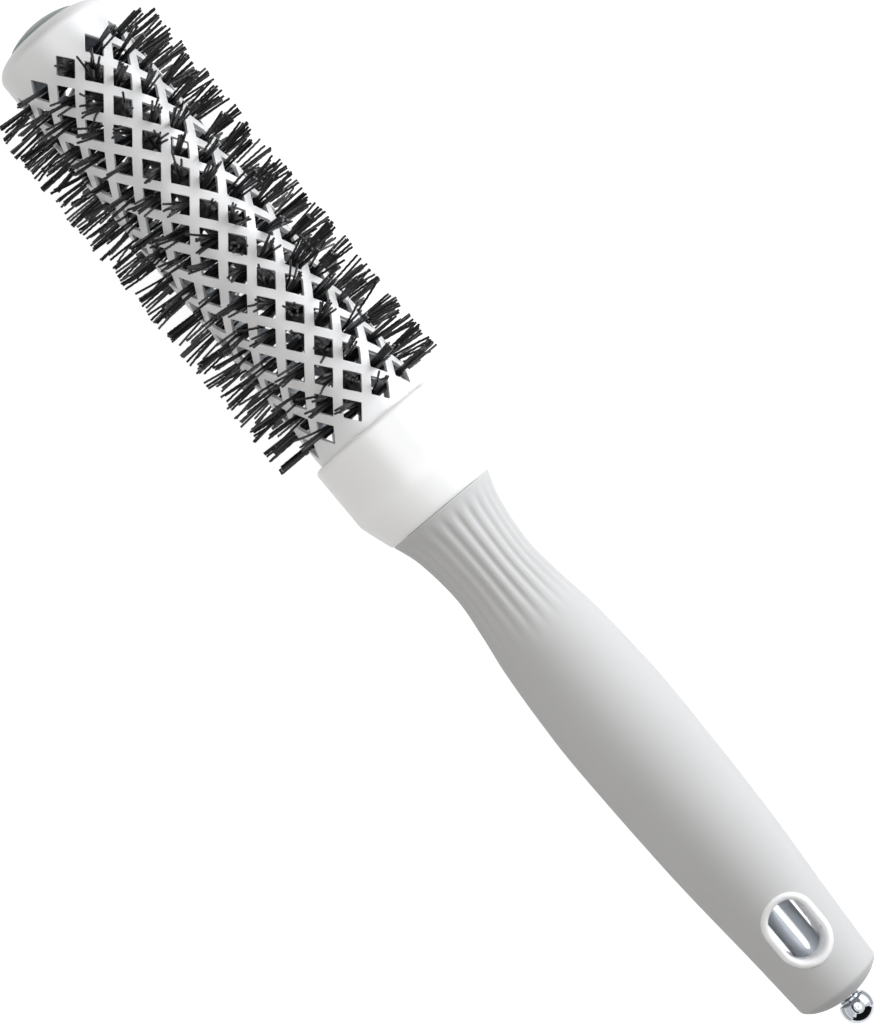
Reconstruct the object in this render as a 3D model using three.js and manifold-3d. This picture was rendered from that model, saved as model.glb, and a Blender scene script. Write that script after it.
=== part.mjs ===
// Round barrel hair brush: a perforated tube on a twisted wire core of bristles, a collar, and a
// waisted handle with an oval window right through it and a pull-out sectioning pick.
// Millimetres. The brush lies along +X from its tip (x = 0) to the ball of the pick, +Z is up, and
// the window looks through the handle along Z. Angles about the brush are measured from +Z towards -Y.

import * as THREE from 'three';
import { mergeVertices } from 'three/addons/utils/BufferGeometryUtils.js';
import Module from 'manifold-3d';

const wasm = await Module();
wasm.setup();

// ---------------------------------------------------------------- driving dimensions

const FIT = 0.3; // gap left between two pieces that seat on each other

// Perforated barrel tube
const TUBE_RADIUS = 12.8;
const TUBE_WALL = 0.8;
const NOSE_LIP_X = 1.75; // front face of the rolled-in nose
const NOSE_LENGTH = 3.8; // from the lip to the full radius
const NOSE_OPENING_RADIUS = 7.9;
const TUBE_SEAT_LENGTH = 8.5; // stretch of tube held inside the collar

// Diamond holes: rows along the tube, every second row shifted by half a pitch
const ROW_PAIRS = 11;
const HOLES_PER_ROW = 11;
const HOLE_PITCH = 8.62;
const HOLE_LENGTH = 5.8;
const HOLE_WIDTH = 4.7; // measured round the tube
const FIRST_HOLE_X = 12.3;
const LATTICE_TURN = 7.8; // degrees from +Z to the first row
const PLAIN_BAND_LENGTH = 4.4; // from the last hole's centre to the collar

// Bristles
const BRISTLE_RADIUS = 20.2; // to the tips, from the axis
const STRAND_RADIUS = 0.3;
const STRAND_SPREAD = 1.0; // along the brush, from a hole's centre to each of its two strands
const STRAND_LEAN = 0.7; // how far a tip stands outwards of its root, along the brush
const STRAND_WANDER = 0.3; // how much that lean varies
const STRAND_SWAY = 1; // degrees that a tip stands off its row
const SHIFTED_TRIM = 0.7; // a shifted row's first and last strands are this much shorter
const REST_FLAT_DEPTH = 0.5; // the tips underneath lie flat on the table
const BRISTLE_PACKS = 4;

// Twisted wire core
const WIRE_RADIUS = 0.6;
const WIRE_TWIST_RADIUS = 0.78; // from the axis to each wire's centre line
const WIRE_TWIST_PITCH = 15;
const ROOT_WALL = 0.45; // the layer of strand roots packed round the wires
const ROOT_MARGIN = 0.8; // roots reach this far past the outermost strands
const WIRE_END_IN_PLUG = 4.2;
const WIRE_END_IN_SOCKET = 14;

// Tip plug
const PLUG_FLAT_RADIUS = 2.5;
const PLUG_DOME_HEIGHT = 1.55;
const PLUG_FLANGE_RADIUS = 9.4;
const PLUG_FLANGE_LENGTH = 1.6;
const PLUG_SHANK_RADIUS = 4.2;

// Collar and the socket inside it
const COLLAR_RADIUS = 14.6;
const COLLAR_LENGTH = 20.8;
const COLLAR_STRAIGHT_LENGTH = 14;
const COLLAR_REAR_RADIUS = 12.4;
const COLLAR_EDGE = 1.2; // rounding of its front rim
const COLLAR_WEB_LENGTH = 2;
const COLLAR_REAR_BORE_RADIUS = 8.9;
const SOCKET_FLANGE_LENGTH = 2;
const SOCKET_SHANK_RADIUS = 6;
const SOCKET_SHANK_LENGTH = 22;
const SOCKET_FRONT_RECESS = 0.4; // from the collar's rim back to the socket's face

// Handle: distance from its front end, and outside radius
const HANDLE_OUTLINE = [
  [0, 12.1], [2.7, 11.1], [5.7, 10.25], [11.6, 9.42], [17.5, 9.2], [25.3, 10.05],
  [33.2, 11.15], [45, 12.03], [57.5, 12.37], [84.4, 11.7], [108, 10.15], [121.6, 9.38],
];
const END_DOME_LENGTH = 3; // from the outline's last point to the end face
const END_DOME_GROWTH = 0.62; // how far beyond that point's radius the dome's oval would reach
const END_FACE_RADIUS = 3.6;
const GRIP_WALL = 1.5;
const GRIP_END_WALL = 3.9; // thickness of the soft end behind the rigid core, at its middle
const FLUTES = 24;
const FLUTE_DEPTH = 0.4;
const FLUTE_START = 0.8; // distance from the handle's front where the flutes begin
const FLUTE_FULL = 4;
const FLUTE_FADE = 21; // where they start to run out
const FLUTE_END = 32;

// Window through the handle and its bezel, which lines it from one side to the other
const WINDOW_FROM_END = 17.5; // from the handle's end face to the window's middle
const BEZEL_LENGTH = 16;
const BEZEL_WIDTH = 11.7;
const BEZEL_WALL = 1.35;
const BEZEL_PROUD = 0.35;

// Sectioning pick, its sleeve, its bush and the ring that grips it
const ROD_RADIUS = 1.25;
const ROD_LENGTH = 69.5; // from its point to the ball's back
const ROD_POINT_LENGTH = 6;
const ROD_POINT_RADIUS = 0.4;
const ROD_SHOULDER_RADIUS = 1.7;
const ROD_SHOULDER_LENGTH = 1.6;
const ROD_TENON_RADIUS = 1;
const ROD_TENON_LENGTH = 2.2;
const BALL_RADIUS = 3.45;
const BALL_BACK_DEPTH = 2.35; // from the ball's centre to its flat back
const BALL_NECK_RADIUS = 2.2;
const BALL_NECK_LENGTH = 0.45;
const BALL_STAND_OFF = 0.7; // from the handle's end face to the ball's flat back
const SLEEVE_RADIUS = 3.2;
const SLEEVE_FRONT_WALL = 2.7;
const SLEEVE_REAR_FROM_END = 8; // from the handle's end face to the sleeve's rear
const SLEEVE_CHAMFER = 0.4;
const BUSH_RADIUS = 3.9;
const BUSH_NOSE_RADIUS = 2.9;
const BUSH_NOSE_RECESS = 0.2;
const GRIP_RING_RADIUS = 0.5; // section of the rubber ring
const GRIP_RING_FROM_END = 6.2; // from the handle's end face to the ring's middle

// How finely the round forms are drawn
const SMOOTH_SIDES = 32;
const HANDLE_SIDES = 2 * FLUTES;
const CORE_SIDES = 20;
const SMALL_SIDES = 16;
const WIRE_SIDES = 5;
const WIRE_STEPS_PER_TURN = 8;

// ---------------------------------------------------------------- places worked out from them

const ROW_STEP = Math.PI / ROW_PAIRS;
const HALF_HOLE_ANGLE = HOLE_WIDTH / 2 / TUBE_RADIUS;
const HALF_HOLE_LENGTH = HOLE_LENGTH / 2;
const TUBE_BORE_RADIUS = TUBE_RADIUS - TUBE_WALL;
const NOSE_END_X = NOSE_LIP_X + NOSE_LENGTH;
const LAST_HOLE_X = FIRST_HOLE_X + (HOLES_PER_ROW - 1) * HOLE_PITCH;
const LAST_COLUMN = 2 * (HOLES_PER_ROW - 1);
const COLLAR_X = LAST_HOLE_X + PLAIN_BAND_LENGTH;
const TUBE_END_X = COLLAR_X + TUBE_SEAT_LENGTH;

const CORE_RADIUS = WIRE_TWIST_RADIUS + WIRE_RADIUS;
const ROOT_BORE_RADIUS = CORE_RADIUS + FIT;
const ROOT_RADIUS = ROOT_BORE_RADIUS + ROOT_WALL;
const ROOTS_START_X = FIRST_HOLE_X - STRAND_SPREAD - ROOT_MARGIN;
const ROOTS_END_X = LAST_HOLE_X + STRAND_SPREAD + ROOT_MARGIN;

const PLUG_HEAD_RADIUS = NOSE_OPENING_RADIUS - FIT;
const PLUG_END_X = ROOTS_START_X - FIT;
const PLUG_FLANGE_X = noseBoreX(PLUG_FLANGE_RADIUS) + FIT;
const WIRE_START_X = PLUG_END_X - WIRE_END_IN_PLUG;

const SOCKET_X = COLLAR_X + SOCKET_FRONT_RECESS;
const WIRE_END_X = SOCKET_X + WIRE_END_IN_SOCKET;
const SOCKET_FLANGE_X = TUBE_END_X + FIT;
const SOCKET_SHANK_X = SOCKET_FLANGE_X + SOCKET_FLANGE_LENGTH;
const SOCKET_END_X = SOCKET_SHANK_X + SOCKET_SHANK_LENGTH;
const COLLAR_BORE_RADIUS = TUBE_RADIUS + FIT;
const COLLAR_WEB_X = SOCKET_SHANK_X + FIT;
const COLLAR_REAR_BORE_X = COLLAR_WEB_X + COLLAR_WEB_LENGTH;
const COLLAR_END_X = COLLAR_X + COLLAR_LENGTH;

const HANDLE_X = COLLAR_END_X + FIT;
const HANDLE_LAST = HANDLE_OUTLINE[HANDLE_OUTLINE.length - 1];
const DOME_X = HANDLE_X + HANDLE_LAST[0];
const DOME_RADIUS = HANDLE_LAST[1] + END_DOME_GROWTH;
const DOME_START = Math.asin(HANDLE_LAST[1] / DOME_RADIUS);
const DOME_END = Math.asin(END_FACE_RADIUS / DOME_RADIUS);
const DOME_REACH = END_DOME_LENGTH / (Math.cos(DOME_END) - Math.cos(DOME_START));
const DOME_CENTRE_X = DOME_X - DOME_REACH * Math.cos(DOME_START);
const END_X = DOME_X + END_DOME_LENGTH;
const TENON_X = COLLAR_REAR_BORE_X + FIT;
const TENON_RADIUS = COLLAR_REAR_BORE_RADIUS - FIT;
const GRIP_BORE_END_X = END_X - GRIP_END_WALL;
const CORE_END_X = GRIP_BORE_END_X - FIT;

const WINDOW_X = END_X - WINDOW_FROM_END;
const SLEEVE_BORE_RADIUS = ROD_RADIUS + FIT;
const SLEEVE_END_X = END_X - SLEEVE_REAR_FROM_END;
const BALL_BACK_X = END_X + BALL_STAND_OFF;
const BALL_X = BALL_BACK_X + BALL_BACK_DEPTH;
const ROD_START_X = BALL_BACK_X - ROD_LENGTH;
const SLEEVE_X = ROD_START_X - FIT - SLEEVE_FRONT_WALL;
const CORE_BORE_RADIUS = SLEEVE_RADIUS + FIT;
const BUSH_X = SLEEVE_END_X + FIT;

// ---------------------------------------------------------------- helpers

/** A point at a distance x along the brush, at a radius and an angle about it. */
function around(x, radius, angle) {
  return new THREE.Vector3(x, -radius * Math.sin(angle), radius * Math.cos(angle));
}

/** A closed geometry from a list of triangles and quads, each a list of points. */
function geometryFromFaces(faces) {
  const positions = [];
  for (const face of faces) {
    for (let corner = 2; corner < face.length; corner += 1) {
      for (const point of [face[0], face[corner - 1], face[corner]]) {
        positions.push(point.x, point.y, point.z);
      }
    }
  }
  const geometry = new THREE.BufferGeometry();
  geometry.setAttribute('position', new THREE.Float32BufferAttribute(positions, 3));
  return welded(geometry);
}

/** The same surface with its shared vertices merged and its collapsed triangles left out. */
function welded(geometry) {
  const bare = geometry.clone();
  bare.deleteAttribute('normal');
  bare.deleteAttribute('uv');
  const merged = mergeVertices(bare, 1e-4);
  const source = merged.index.array;
  const index = [];
  for (let i = 0; i < source.length; i += 3) {
    const [a, b, c] = [source[i], source[i + 1], source[i + 2]];
    if (a !== b && b !== c && c !== a) {
      index.push(a, b, c);
    }
  }
  merged.setIndex(index);
  return merged;
}

/** A geometry as a solid that can be joined and cut. */
function solidFrom(geometry) {
  const closed = welded(geometry);
  return new wasm.Manifold(new wasm.Mesh({
    numProp: 3,
    vertProperties: Float32Array.from(closed.attributes.position.array),
    triVerts: Uint32Array.from(closed.index.array),
  }));
}

/** A solid back as a geometry. */
function geometryFrom(solid) {
  const { vertProperties, triVerts } = solid.getMesh();
  const geometry = new THREE.BufferGeometry();
  geometry.setAttribute('position', new THREE.BufferAttribute(Float32Array.from(vertProperties), 3));
  geometry.setIndex(new THREE.BufferAttribute(Uint32Array.from(triVerts), 1));
  return geometry;
}

/** A form turned about the brush's axis from a profile of [x, radius] pairs, front to rear outside. */
function turned(profile, sides) {
  const points = profile.map(([x, radius]) => new THREE.Vector2(radius, x));
  const geometry = new THREE.LatheGeometry(points, sides);
  geometry.rotateZ(-Math.PI / 2);
  return geometry;
}

/** A part of an ellipse as [x, radius] pairs, from one angle to another, 0 pointing along +X. */
function arc(centreX, centreRadius, alongX, alongRadius, from, to, steps) {
  const points = [];
  for (let step = 0; step <= steps; step += 1) {
    const angle = from + ((to - from) * step) / steps;
    points.push([centreX + alongX * Math.cos(angle), centreRadius + alongRadius * Math.sin(angle)]);
  }
  return points;
}

/** An upright oval prism right through the handle at its window. */
function windowPrism(length, width) {
  const half = (length - width) / 2;
  const outline = new THREE.Shape();
  outline.absarc(half, 0, width / 2, -Math.PI / 2, Math.PI / 2, false);
  outline.absarc(-half, 0, width / 2, Math.PI / 2, (3 * Math.PI) / 2, false);
  const geometry = new THREE.ExtrudeGeometry(outline, {
    depth: 2 * COLLAR_RADIUS,
    bevelEnabled: false,
    curveSegments: 8,
  });
  geometry.translate(WINDOW_X, 0, -COLLAR_RADIUS);
  return geometry;
}

function material(color, roughness, metalness) {
  return new THREE.MeshStandardMaterial({ color, roughness, metalness });
}

const brush = new THREE.Group();

function addPiece(name, geometry, look) {
  const mesh = new THREE.Mesh(welded(geometry), look);
  mesh.name = name;
  mesh.geometry.computeVertexNormals();
  brush.add(mesh);
}

// ---------------------------------------------------------------- barrel tube

/** Where the bore of the rolled-in nose lies along the brush, at a radius. */
function noseBoreX(radius) {
  const rise = (radius - NOSE_OPENING_RADIUS) / (TUBE_BORE_RADIUS - NOSE_OPENING_RADIUS);
  return NOSE_END_X - (NOSE_LENGTH - TUBE_WALL) * Math.sqrt(1 - rise * rise);
}

function rowAngle(row) {
  return THREE.MathUtils.degToRad(LATTICE_TURN) + row * ROW_STEP;
}

/** Rows with an odd number start half a pitch later and have one hole fewer. */
function holeX(row, hole) {
  return FIRST_HOLE_X + (hole + (row % 2) / 2) * HOLE_PITCH;
}

/** The corner of a hole that points along the brush (alongX = -1 or 1) or round it (roundX = 0). */
function holeCorner(row, hole, alongX, roundRow, radius) {
  const x = holeX(row, hole) + alongX * HALF_HOLE_LENGTH;
  return around(x, radius, rowAngle(row) + roundRow * HALF_HOLE_ANGLE);
}

/** The webs of the lattice on one skin of the tube, facing outwards. */
function latticeSkin(radius) {
  const faces = [];
  for (let row = 0; row < 2 * ROW_PAIRS; row += 1) {
    const odd = row % 2;
    const holes = HOLES_PER_ROW - odd;
    for (let hole = 0; hole < holes - 1; hole += 1) {
      // the crossing between two holes of a row, and the holes of the rows beside it
      faces.push([
        holeCorner(row, hole, 1, 0, radius),
        holeCorner(row + 1, hole + odd, 0, -1, radius),
        holeCorner(row, hole + 1, -1, 0, radius),
        holeCorner(row - 1 + 2 * ROW_PAIRS, hole + odd, 0, 1, radius),
      ]);
    }
    for (let hole = 0; odd && hole < holes; hole += 1) {
      // the four webs round each hole of a shifted row
      for (const along of [-1, 1]) {
        for (const round of [-1, 1]) {
          const nextRow = row + round;
          const nextHole = hole + (along + 1) / 2;
          const web = [
            holeCorner(nextRow, nextHole, 0, -round, radius),
            holeCorner(row, hole, along, 0, radius),
            holeCorner(row, hole, 0, round, radius),
            holeCorner(nextRow, nextHole, -along, 0, radius),
          ];
          faces.push(along * round > 0 ? web : web.reverse());
        }
      }
    }
  }
  return faces;
}

/** The angles round the tube at which its plain ends meet the lattice. */
function ringAngles() {
  const angles = [];
  for (let row = 0; row < 2 * ROW_PAIRS; row += 2) {
    angles.push(rowAngle(row), rowAngle(row) + HALF_HOLE_ANGLE);
    angles.push(rowAngle(row + 1), rowAngle(row + 2) - HALF_HOLE_ANGLE);
  }
  return angles;
}

function plainRing(x, radius) {
  return ringAngles().map((angle) => around(x, radius, angle));
}

/** The zigzag line of hole corners where a plain end begins: end is -1 at the front, 1 at the rear. */
function latticeEdge(end, radius) {
  const edge = [];
  const last = end > 0 ? HOLES_PER_ROW - 1 : 0;
  const lastShifted = end > 0 ? HOLES_PER_ROW - 2 : 0;
  for (let row = 0; row < 2 * ROW_PAIRS; row += 2) {
    edge.push(holeCorner(row, last, end, 0, radius));
    edge.push(holeCorner(row, last, 0, 1, radius));
    edge.push(holeCorner(row + 1, lastShifted, end, 0, radius));
    edge.push(holeCorner(row + 2, last, 0, -1, radius));
  }
  return edge;
}

/** Quads between two rings of as many points, the front one first, facing outwards. */
function band(front, rear) {
  return front.map((point, i) => {
    const next = (i + 1) % front.length;
    return [point, front[next], rear[next], rear[i]];
  });
}

/** One skin of the whole tube: rolled nose, plain ends and lattice. */
function tubeSkin(radius, noseLength) {
  const noseSteps = 3;
  const nose = arc(
    NOSE_END_X, NOSE_OPENING_RADIUS, noseLength, radius - NOSE_OPENING_RADIUS,
    Math.PI, Math.PI / 2, noseSteps,
  );
  const rings = nose.map(([x, ringRadius]) => plainRing(x, ringRadius));
  rings.push(latticeEdge(-1, radius));
  const faces = latticeSkin(radius);
  for (let i = 1; i < rings.length; i += 1) {
    faces.push(...band(rings[i - 1], rings[i]));
  }
  faces.push(...band(latticeEdge(1, radius), plainRing(TUBE_END_X, radius)));
  return faces;
}

/** The flat walls of every hole, between the two skins. */
function holeWalls() {
  const faces = [];
  const corners = [[-1, 0], [0, 1], [1, 0], [0, -1]];
  for (let row = 0; row < 2 * ROW_PAIRS; row += 1) {
    for (let hole = 0; hole < HOLES_PER_ROW - (row % 2); hole += 1) {
      const outer = corners.map((corner) => holeCorner(row, hole, ...corner, TUBE_RADIUS));
      const inner = corners.map((corner) => holeCorner(row, hole, ...corner, TUBE_BORE_RADIUS));
      faces.push(...band(outer, inner));
    }
  }
  return faces;
}

function barrelTube() {
  const faces = tubeSkin(TUBE_RADIUS, NOSE_LENGTH);
  for (const face of tubeSkin(TUBE_BORE_RADIUS, NOSE_LENGTH - TUBE_WALL)) {
    faces.push(face.reverse());
  }
  faces.push(...holeWalls());
  const lipFront = plainRing(NOSE_LIP_X, NOSE_OPENING_RADIUS);
  const lipBack = plainRing(NOSE_LIP_X + TUBE_WALL, NOSE_OPENING_RADIUS);
  faces.push(...band(lipBack, lipFront));
  faces.push(...band(plainRing(TUBE_END_X, TUBE_RADIUS), plainRing(TUBE_END_X, TUBE_BORE_RADIUS)));
  return geometryFromFaces(faces);
}

// ---------------------------------------------------------------- twisted core and bristles

/** One wire of the twisted pair. */
class TwistedLine extends THREE.Curve {
  constructor(startAngle) {
    super();
    this.startAngle = startAngle;
  }

  getPoint(t) {
    const x = THREE.MathUtils.lerp(WIRE_START_X, WIRE_END_X, t);
    const angle = this.startAngle + (2 * Math.PI * (x - WIRE_START_X)) / WIRE_TWIST_PITCH;
    return around(x, WIRE_TWIST_RADIUS, angle);
  }
}

function coreWire(startAngle) {
  const section = new THREE.Shape(Array.from({ length: WIRE_SIDES }, (_, side) => {
    const angle = (2 * Math.PI * side) / WIRE_SIDES;
    return new THREE.Vector2(WIRE_RADIUS * Math.cos(angle), WIRE_RADIUS * Math.sin(angle));
  }));
  const turns = (WIRE_END_X - WIRE_START_X) / WIRE_TWIST_PITCH;
  return new THREE.ExtrudeGeometry(section, {
    steps: Math.ceil(turns * WIRE_STEPS_PER_TURN),
    extrudePath: new TwistedLine(startAngle),
  });
}

/** A number between -1 and 1 that differs from strand to strand. */
function vary(count) {
  const GOLDEN_ANGLE = 2.39996;
  return Math.sin(count * GOLDEN_ANGLE);
}

/** The three corners of a strand round its centre line, on the flat facet that its row stands on. */
function strandCorners(centre, rowDirection) {
  const alongX = new THREE.Vector3(1, 0, 0);
  const across = alongX.clone().cross(rowDirection);
  return [0, 1, 2].map((corner) => {
    const angle = (2 * Math.PI * corner) / 3;
    return centre.clone()
      .addScaledVector(alongX, STRAND_RADIUS * Math.cos(angle))
      .addScaledVector(across, STRAND_RADIUS * Math.sin(angle));
  });
}

/** Moves a tip's corner back along its strand to the flat on which the brush lies. */
function cutAtTable(low, high) {
  const tableZ = REST_FLAT_DEPTH - BRISTLE_RADIUS;
  return high.z < tableZ ? low.clone().lerp(high, (tableZ - low.z) / (high.z - low.z)) : high;
}

/** A three-sided strand between its root's corners and its tip's corners, as faces. */
function strandFaces(low, tip) {
  const high = tip.map((corner, i) => cutAtTable(low[i], corner));
  const sides = [0, 1, 2].map((i) => [low[(i + 1) % 3], low[i], high[i], high[(i + 1) % 3]]);
  return [...sides, [high[2], high[1], high[0]]];
}

/** A facet of the packed roots between two of their edges, with a hole for every strand's foot. */
function rootFacet(corners, feet) {
  const [origin, alongEdge, , acrossEdge] = corners;
  const alongX = alongEdge.clone().sub(origin).normalize();
  const across = acrossEdge.clone().sub(origin).normalize();
  const flat = (point) => {
    const offset = point.clone().sub(origin);
    return new THREE.Vector2(offset.dot(alongX), offset.dot(across));
  };
  const points = [...corners, ...feet.flat()];
  const triangles = THREE.ShapeUtils.triangulateShape(
    corners.map(flat), feet.map((foot) => foot.map(flat)),
  );
  return triangles.map((triangle) => triangle.map((i) => points[i]));
}

/** Where the holes' columns along the brush are shared out to a pack. */
function packColumns(pack) {
  const columns = LAST_COLUMN + 1;
  return [
    Math.floor((columns * pack) / BRISTLE_PACKS),
    Math.floor((columns * (pack + 1)) / BRISTLE_PACKS),
  ];
}

function columnX(column) {
  return FIRST_HOLE_X + (column * HOLE_PITCH) / 2;
}

/** The strands of one row in some columns, two to a hole or one in the shifted rows' holes. */
function rowStrands(row, firstColumn, endColumn) {
  const direction = around(0, 1, rowAngle(row));
  const rootRadius = ROOT_RADIUS * Math.cos(ROW_STEP / 2);
  const strands = [];
  for (let column = firstColumn; column < endColumn; column += 1) {
    const inRow = column % 2 === row % 2;
    const sides = row % 2 ? [0] : [-1, 1];
    for (const side of inRow ? sides : []) {
      const count = 2 * (column * 2 * ROW_PAIRS + row) + side;
      const trimmed = column === 1 || column === LAST_COLUMN - 1;
      const tipRadius = BRISTLE_RADIUS - (trimmed ? SHIFTED_TRIM : 0);
      const rootX = columnX(column) + side * STRAND_SPREAD;
      const tipX = rootX + side * STRAND_LEAN + STRAND_WANDER * vary(count);
      const sway = THREE.MathUtils.degToRad(STRAND_SWAY * vary(count * 3 + 1));
      strands.push({
        low: strandCorners(around(rootX, rootRadius, rowAngle(row)), direction),
        tip: strandCorners(around(tipX, tipRadius, rowAngle(row) + sway), direction),
      });
    }
  }
  return strands;
}

/** A slice of the packed roots with the strands of its columns standing on it. */
function bristlePack(pack) {
  const [first, end] = packColumns(pack);
  const frontX = pack === 0 ? ROOTS_START_X : columnX(first - 0.5) + FIT / 2;
  const rearX = pack === BRISTLE_PACKS - 1 ? ROOTS_END_X : columnX(end - 0.5) - FIT / 2;
  const faces = [];
  for (let row = 0; row < 2 * ROW_PAIRS; row += 1) {
    const edge = (x, radius, side) => around(x, radius, rowAngle(row + side / 2));
    const strands = rowStrands(row, first, end);
    const outside = [[frontX, 1], [rearX, 1], [rearX, -1], [frontX, -1]]
      .map(([x, side]) => edge(x, ROOT_RADIUS, side));
    const bore = [[frontX, -1], [rearX, -1], [rearX, 1], [frontX, 1]]
      .map(([x, side]) => edge(x, ROOT_BORE_RADIUS, side));
    faces.push(...rootFacet(outside, strands.map((strand) => strand.low)), bore);
    faces.push([outside[3], bore[0], bore[3], outside[0]]);
    faces.push([outside[1], bore[2], bore[1], outside[2]]);
    for (const strand of strands) {
      faces.push(...strandFaces(strand.low, strand.tip));
    }
  }
  return geometryFromFaces(faces);
}

// ---------------------------------------------------------------- tip plug

/** Domed head through the nose, a flange behind the lip, and a shank over the wires' ends. */
function tipPlug() {
  const rise = PLUG_HEAD_RADIUS ** 2 - PLUG_FLAT_RADIUS ** 2;
  const domeRadius = Math.sqrt(
    ((rise + PLUG_DOME_HEIGHT ** 2) / (2 * PLUG_DOME_HEIGHT)) ** 2 + PLUG_FLAT_RADIUS ** 2,
  );
  const centreX = Math.sqrt(domeRadius ** 2 - PLUG_FLAT_RADIUS ** 2);
  const flatAngle = Math.PI - Math.asin(PLUG_FLAT_RADIUS / domeRadius);
  const rimAngle = Math.PI - Math.asin(PLUG_HEAD_RADIUS / domeRadius);
  const flangeEndX = PLUG_FLANGE_X + PLUG_FLANGE_LENGTH;
  const boreFootX = WIRE_START_X - FIT;
  return turned([
    [0, 0],
    ...arc(centreX, 0, domeRadius, domeRadius, flatAngle, rimAngle, 4),
    [PLUG_FLANGE_X, PLUG_HEAD_RADIUS], [PLUG_FLANGE_X, PLUG_FLANGE_RADIUS],
    [flangeEndX, PLUG_FLANGE_RADIUS], [flangeEndX, PLUG_SHANK_RADIUS],
    [PLUG_END_X, PLUG_SHANK_RADIUS], [PLUG_END_X, ROOT_BORE_RADIUS],
    [boreFootX, ROOT_BORE_RADIUS], [boreFootX, 0],
  ], SMOOTH_SIDES);
}

// ---------------------------------------------------------------- collar and socket

/** Spigot inside the tube, flange behind its end, and a shank that runs into the handle. */
function barrelSocket() {
  const spigotRadius = TUBE_BORE_RADIUS - FIT;
  const boreFootX = WIRE_END_X + FIT;
  return turned([
    [SOCKET_X, ROOT_BORE_RADIUS], [SOCKET_X, spigotRadius], [SOCKET_FLANGE_X, spigotRadius],
    [SOCKET_FLANGE_X, TUBE_RADIUS], [SOCKET_SHANK_X, TUBE_RADIUS],
    [SOCKET_SHANK_X, SOCKET_SHANK_RADIUS], [SOCKET_END_X, SOCKET_SHANK_RADIUS], [SOCKET_END_X, 0],
    [boreFootX, 0], [boreFootX, ROOT_BORE_RADIUS], [SOCKET_X, ROOT_BORE_RADIUS],
  ], CORE_SIDES);
}

/** Glossy ring with a rounded front rim and a nearly straight taper down to the handle. */
function collar() {
  const straightEndX = COLLAR_X + COLLAR_STRAIGHT_LENGTH;
  const taperLength = COLLAR_LENGTH - COLLAR_STRAIGHT_LENGTH;
  const taperSteps = 3;
  const taper = [];
  for (let step = 1; step <= taperSteps; step += 1) {
    const share = step / taperSteps;
    const fall = (COLLAR_RADIUS - COLLAR_REAR_RADIUS) * share ** 1.1;
    taper.push([straightEndX + taperLength * share, COLLAR_RADIUS - fall]);
  }
  const webBoreRadius = SOCKET_SHANK_RADIUS + FIT;
  return turned([
    [COLLAR_X, COLLAR_BORE_RADIUS],
    ...arc(
      COLLAR_X + COLLAR_EDGE, COLLAR_RADIUS - COLLAR_EDGE, COLLAR_EDGE, COLLAR_EDGE,
      Math.PI, Math.PI / 2, 3,
    ),
    [straightEndX, COLLAR_RADIUS], ...taper,
    [COLLAR_END_X, COLLAR_REAR_BORE_RADIUS], [COLLAR_REAR_BORE_X, COLLAR_REAR_BORE_RADIUS],
    [COLLAR_REAR_BORE_X, webBoreRadius], [COLLAR_WEB_X, webBoreRadius],
    [COLLAR_WEB_X, COLLAR_BORE_RADIUS], [COLLAR_X, COLLAR_BORE_RADIUS],
  ], SMOOTH_SIDES);
}

// ---------------------------------------------------------------- handle

/** The handle's radius at a place along it, moved in by an inset. */
function handleRadiusAt(x, inset) {
  if (x >= DOME_X) {
    return DOME_RADIUS * Math.sqrt(1 - ((x - DOME_CENTRE_X) / DOME_REACH) ** 2) - inset;
  }
  const points = HANDLE_OUTLINE.map(([distance, radius]) => new THREE.Vector2(distance, radius));
  const stepsPerPoint = 8;
  const curve = new THREE.SplineCurve(points).getPoints((points.length - 1) * stepsPerPoint);
  const next = Math.max(1, curve.findIndex((point) => point.x >= x - HANDLE_X));
  const { x: x0, y: radius0 } = curve[next - 1];
  const { x: x1, y: radius1 } = curve[next];
  return THREE.MathUtils.mapLinear(x - HANDLE_X, x0, x1, radius0, radius1) - inset;
}

/** The handle's outline at some distances from its front, as [x, radius], moved in by an inset. */
function handleProfile(distances, inset) {
  return distances.map((distance) => HANDLE_X + distance)
    .map((x) => [x, handleRadiusAt(x, inset)]);
}

/** How deep the flutes are at a distance from the handle's front. */
function fluteDepth(distance) {
  const rise = THREE.MathUtils.smoothstep(distance, FLUTE_START, FLUTE_FULL);
  const fall = 1 - THREE.MathUtils.smoothstep(distance, FLUTE_FADE, FLUTE_END);
  return FLUTE_DEPTH * rise * fall;
}

/** Presses the flutes into the handle's turned form: every second line along it moves inwards. */
function pressFlutes(geometry) {
  const position = geometry.attributes.position;
  const side = (2 * Math.PI) / HANDLE_SIDES;
  for (let i = 0; i < position.count; i += 1) {
    const radius = Math.hypot(position.getY(i), position.getZ(i));
    const line = Math.round(Math.atan2(position.getY(i), position.getZ(i)) / side);
    if (line % 2 !== 0 && radius > END_FACE_RADIUS) {
      const share = (radius - fluteDepth(position.getX(i) - HANDLE_X)) / radius;
      position.setY(i, position.getY(i) * share);
      position.setZ(i, position.getZ(i) * share);
    }
  }
}

/** The core's outline inside the grip, up to a flat rear end, moved in by an inset. */
function handleInside(inset, endX) {
  const distances = HANDLE_OUTLINE.map(([distance]) => distance);
  return handleProfile([...distances.slice(0, -1), endX - HANDLE_X], inset);
}

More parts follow.
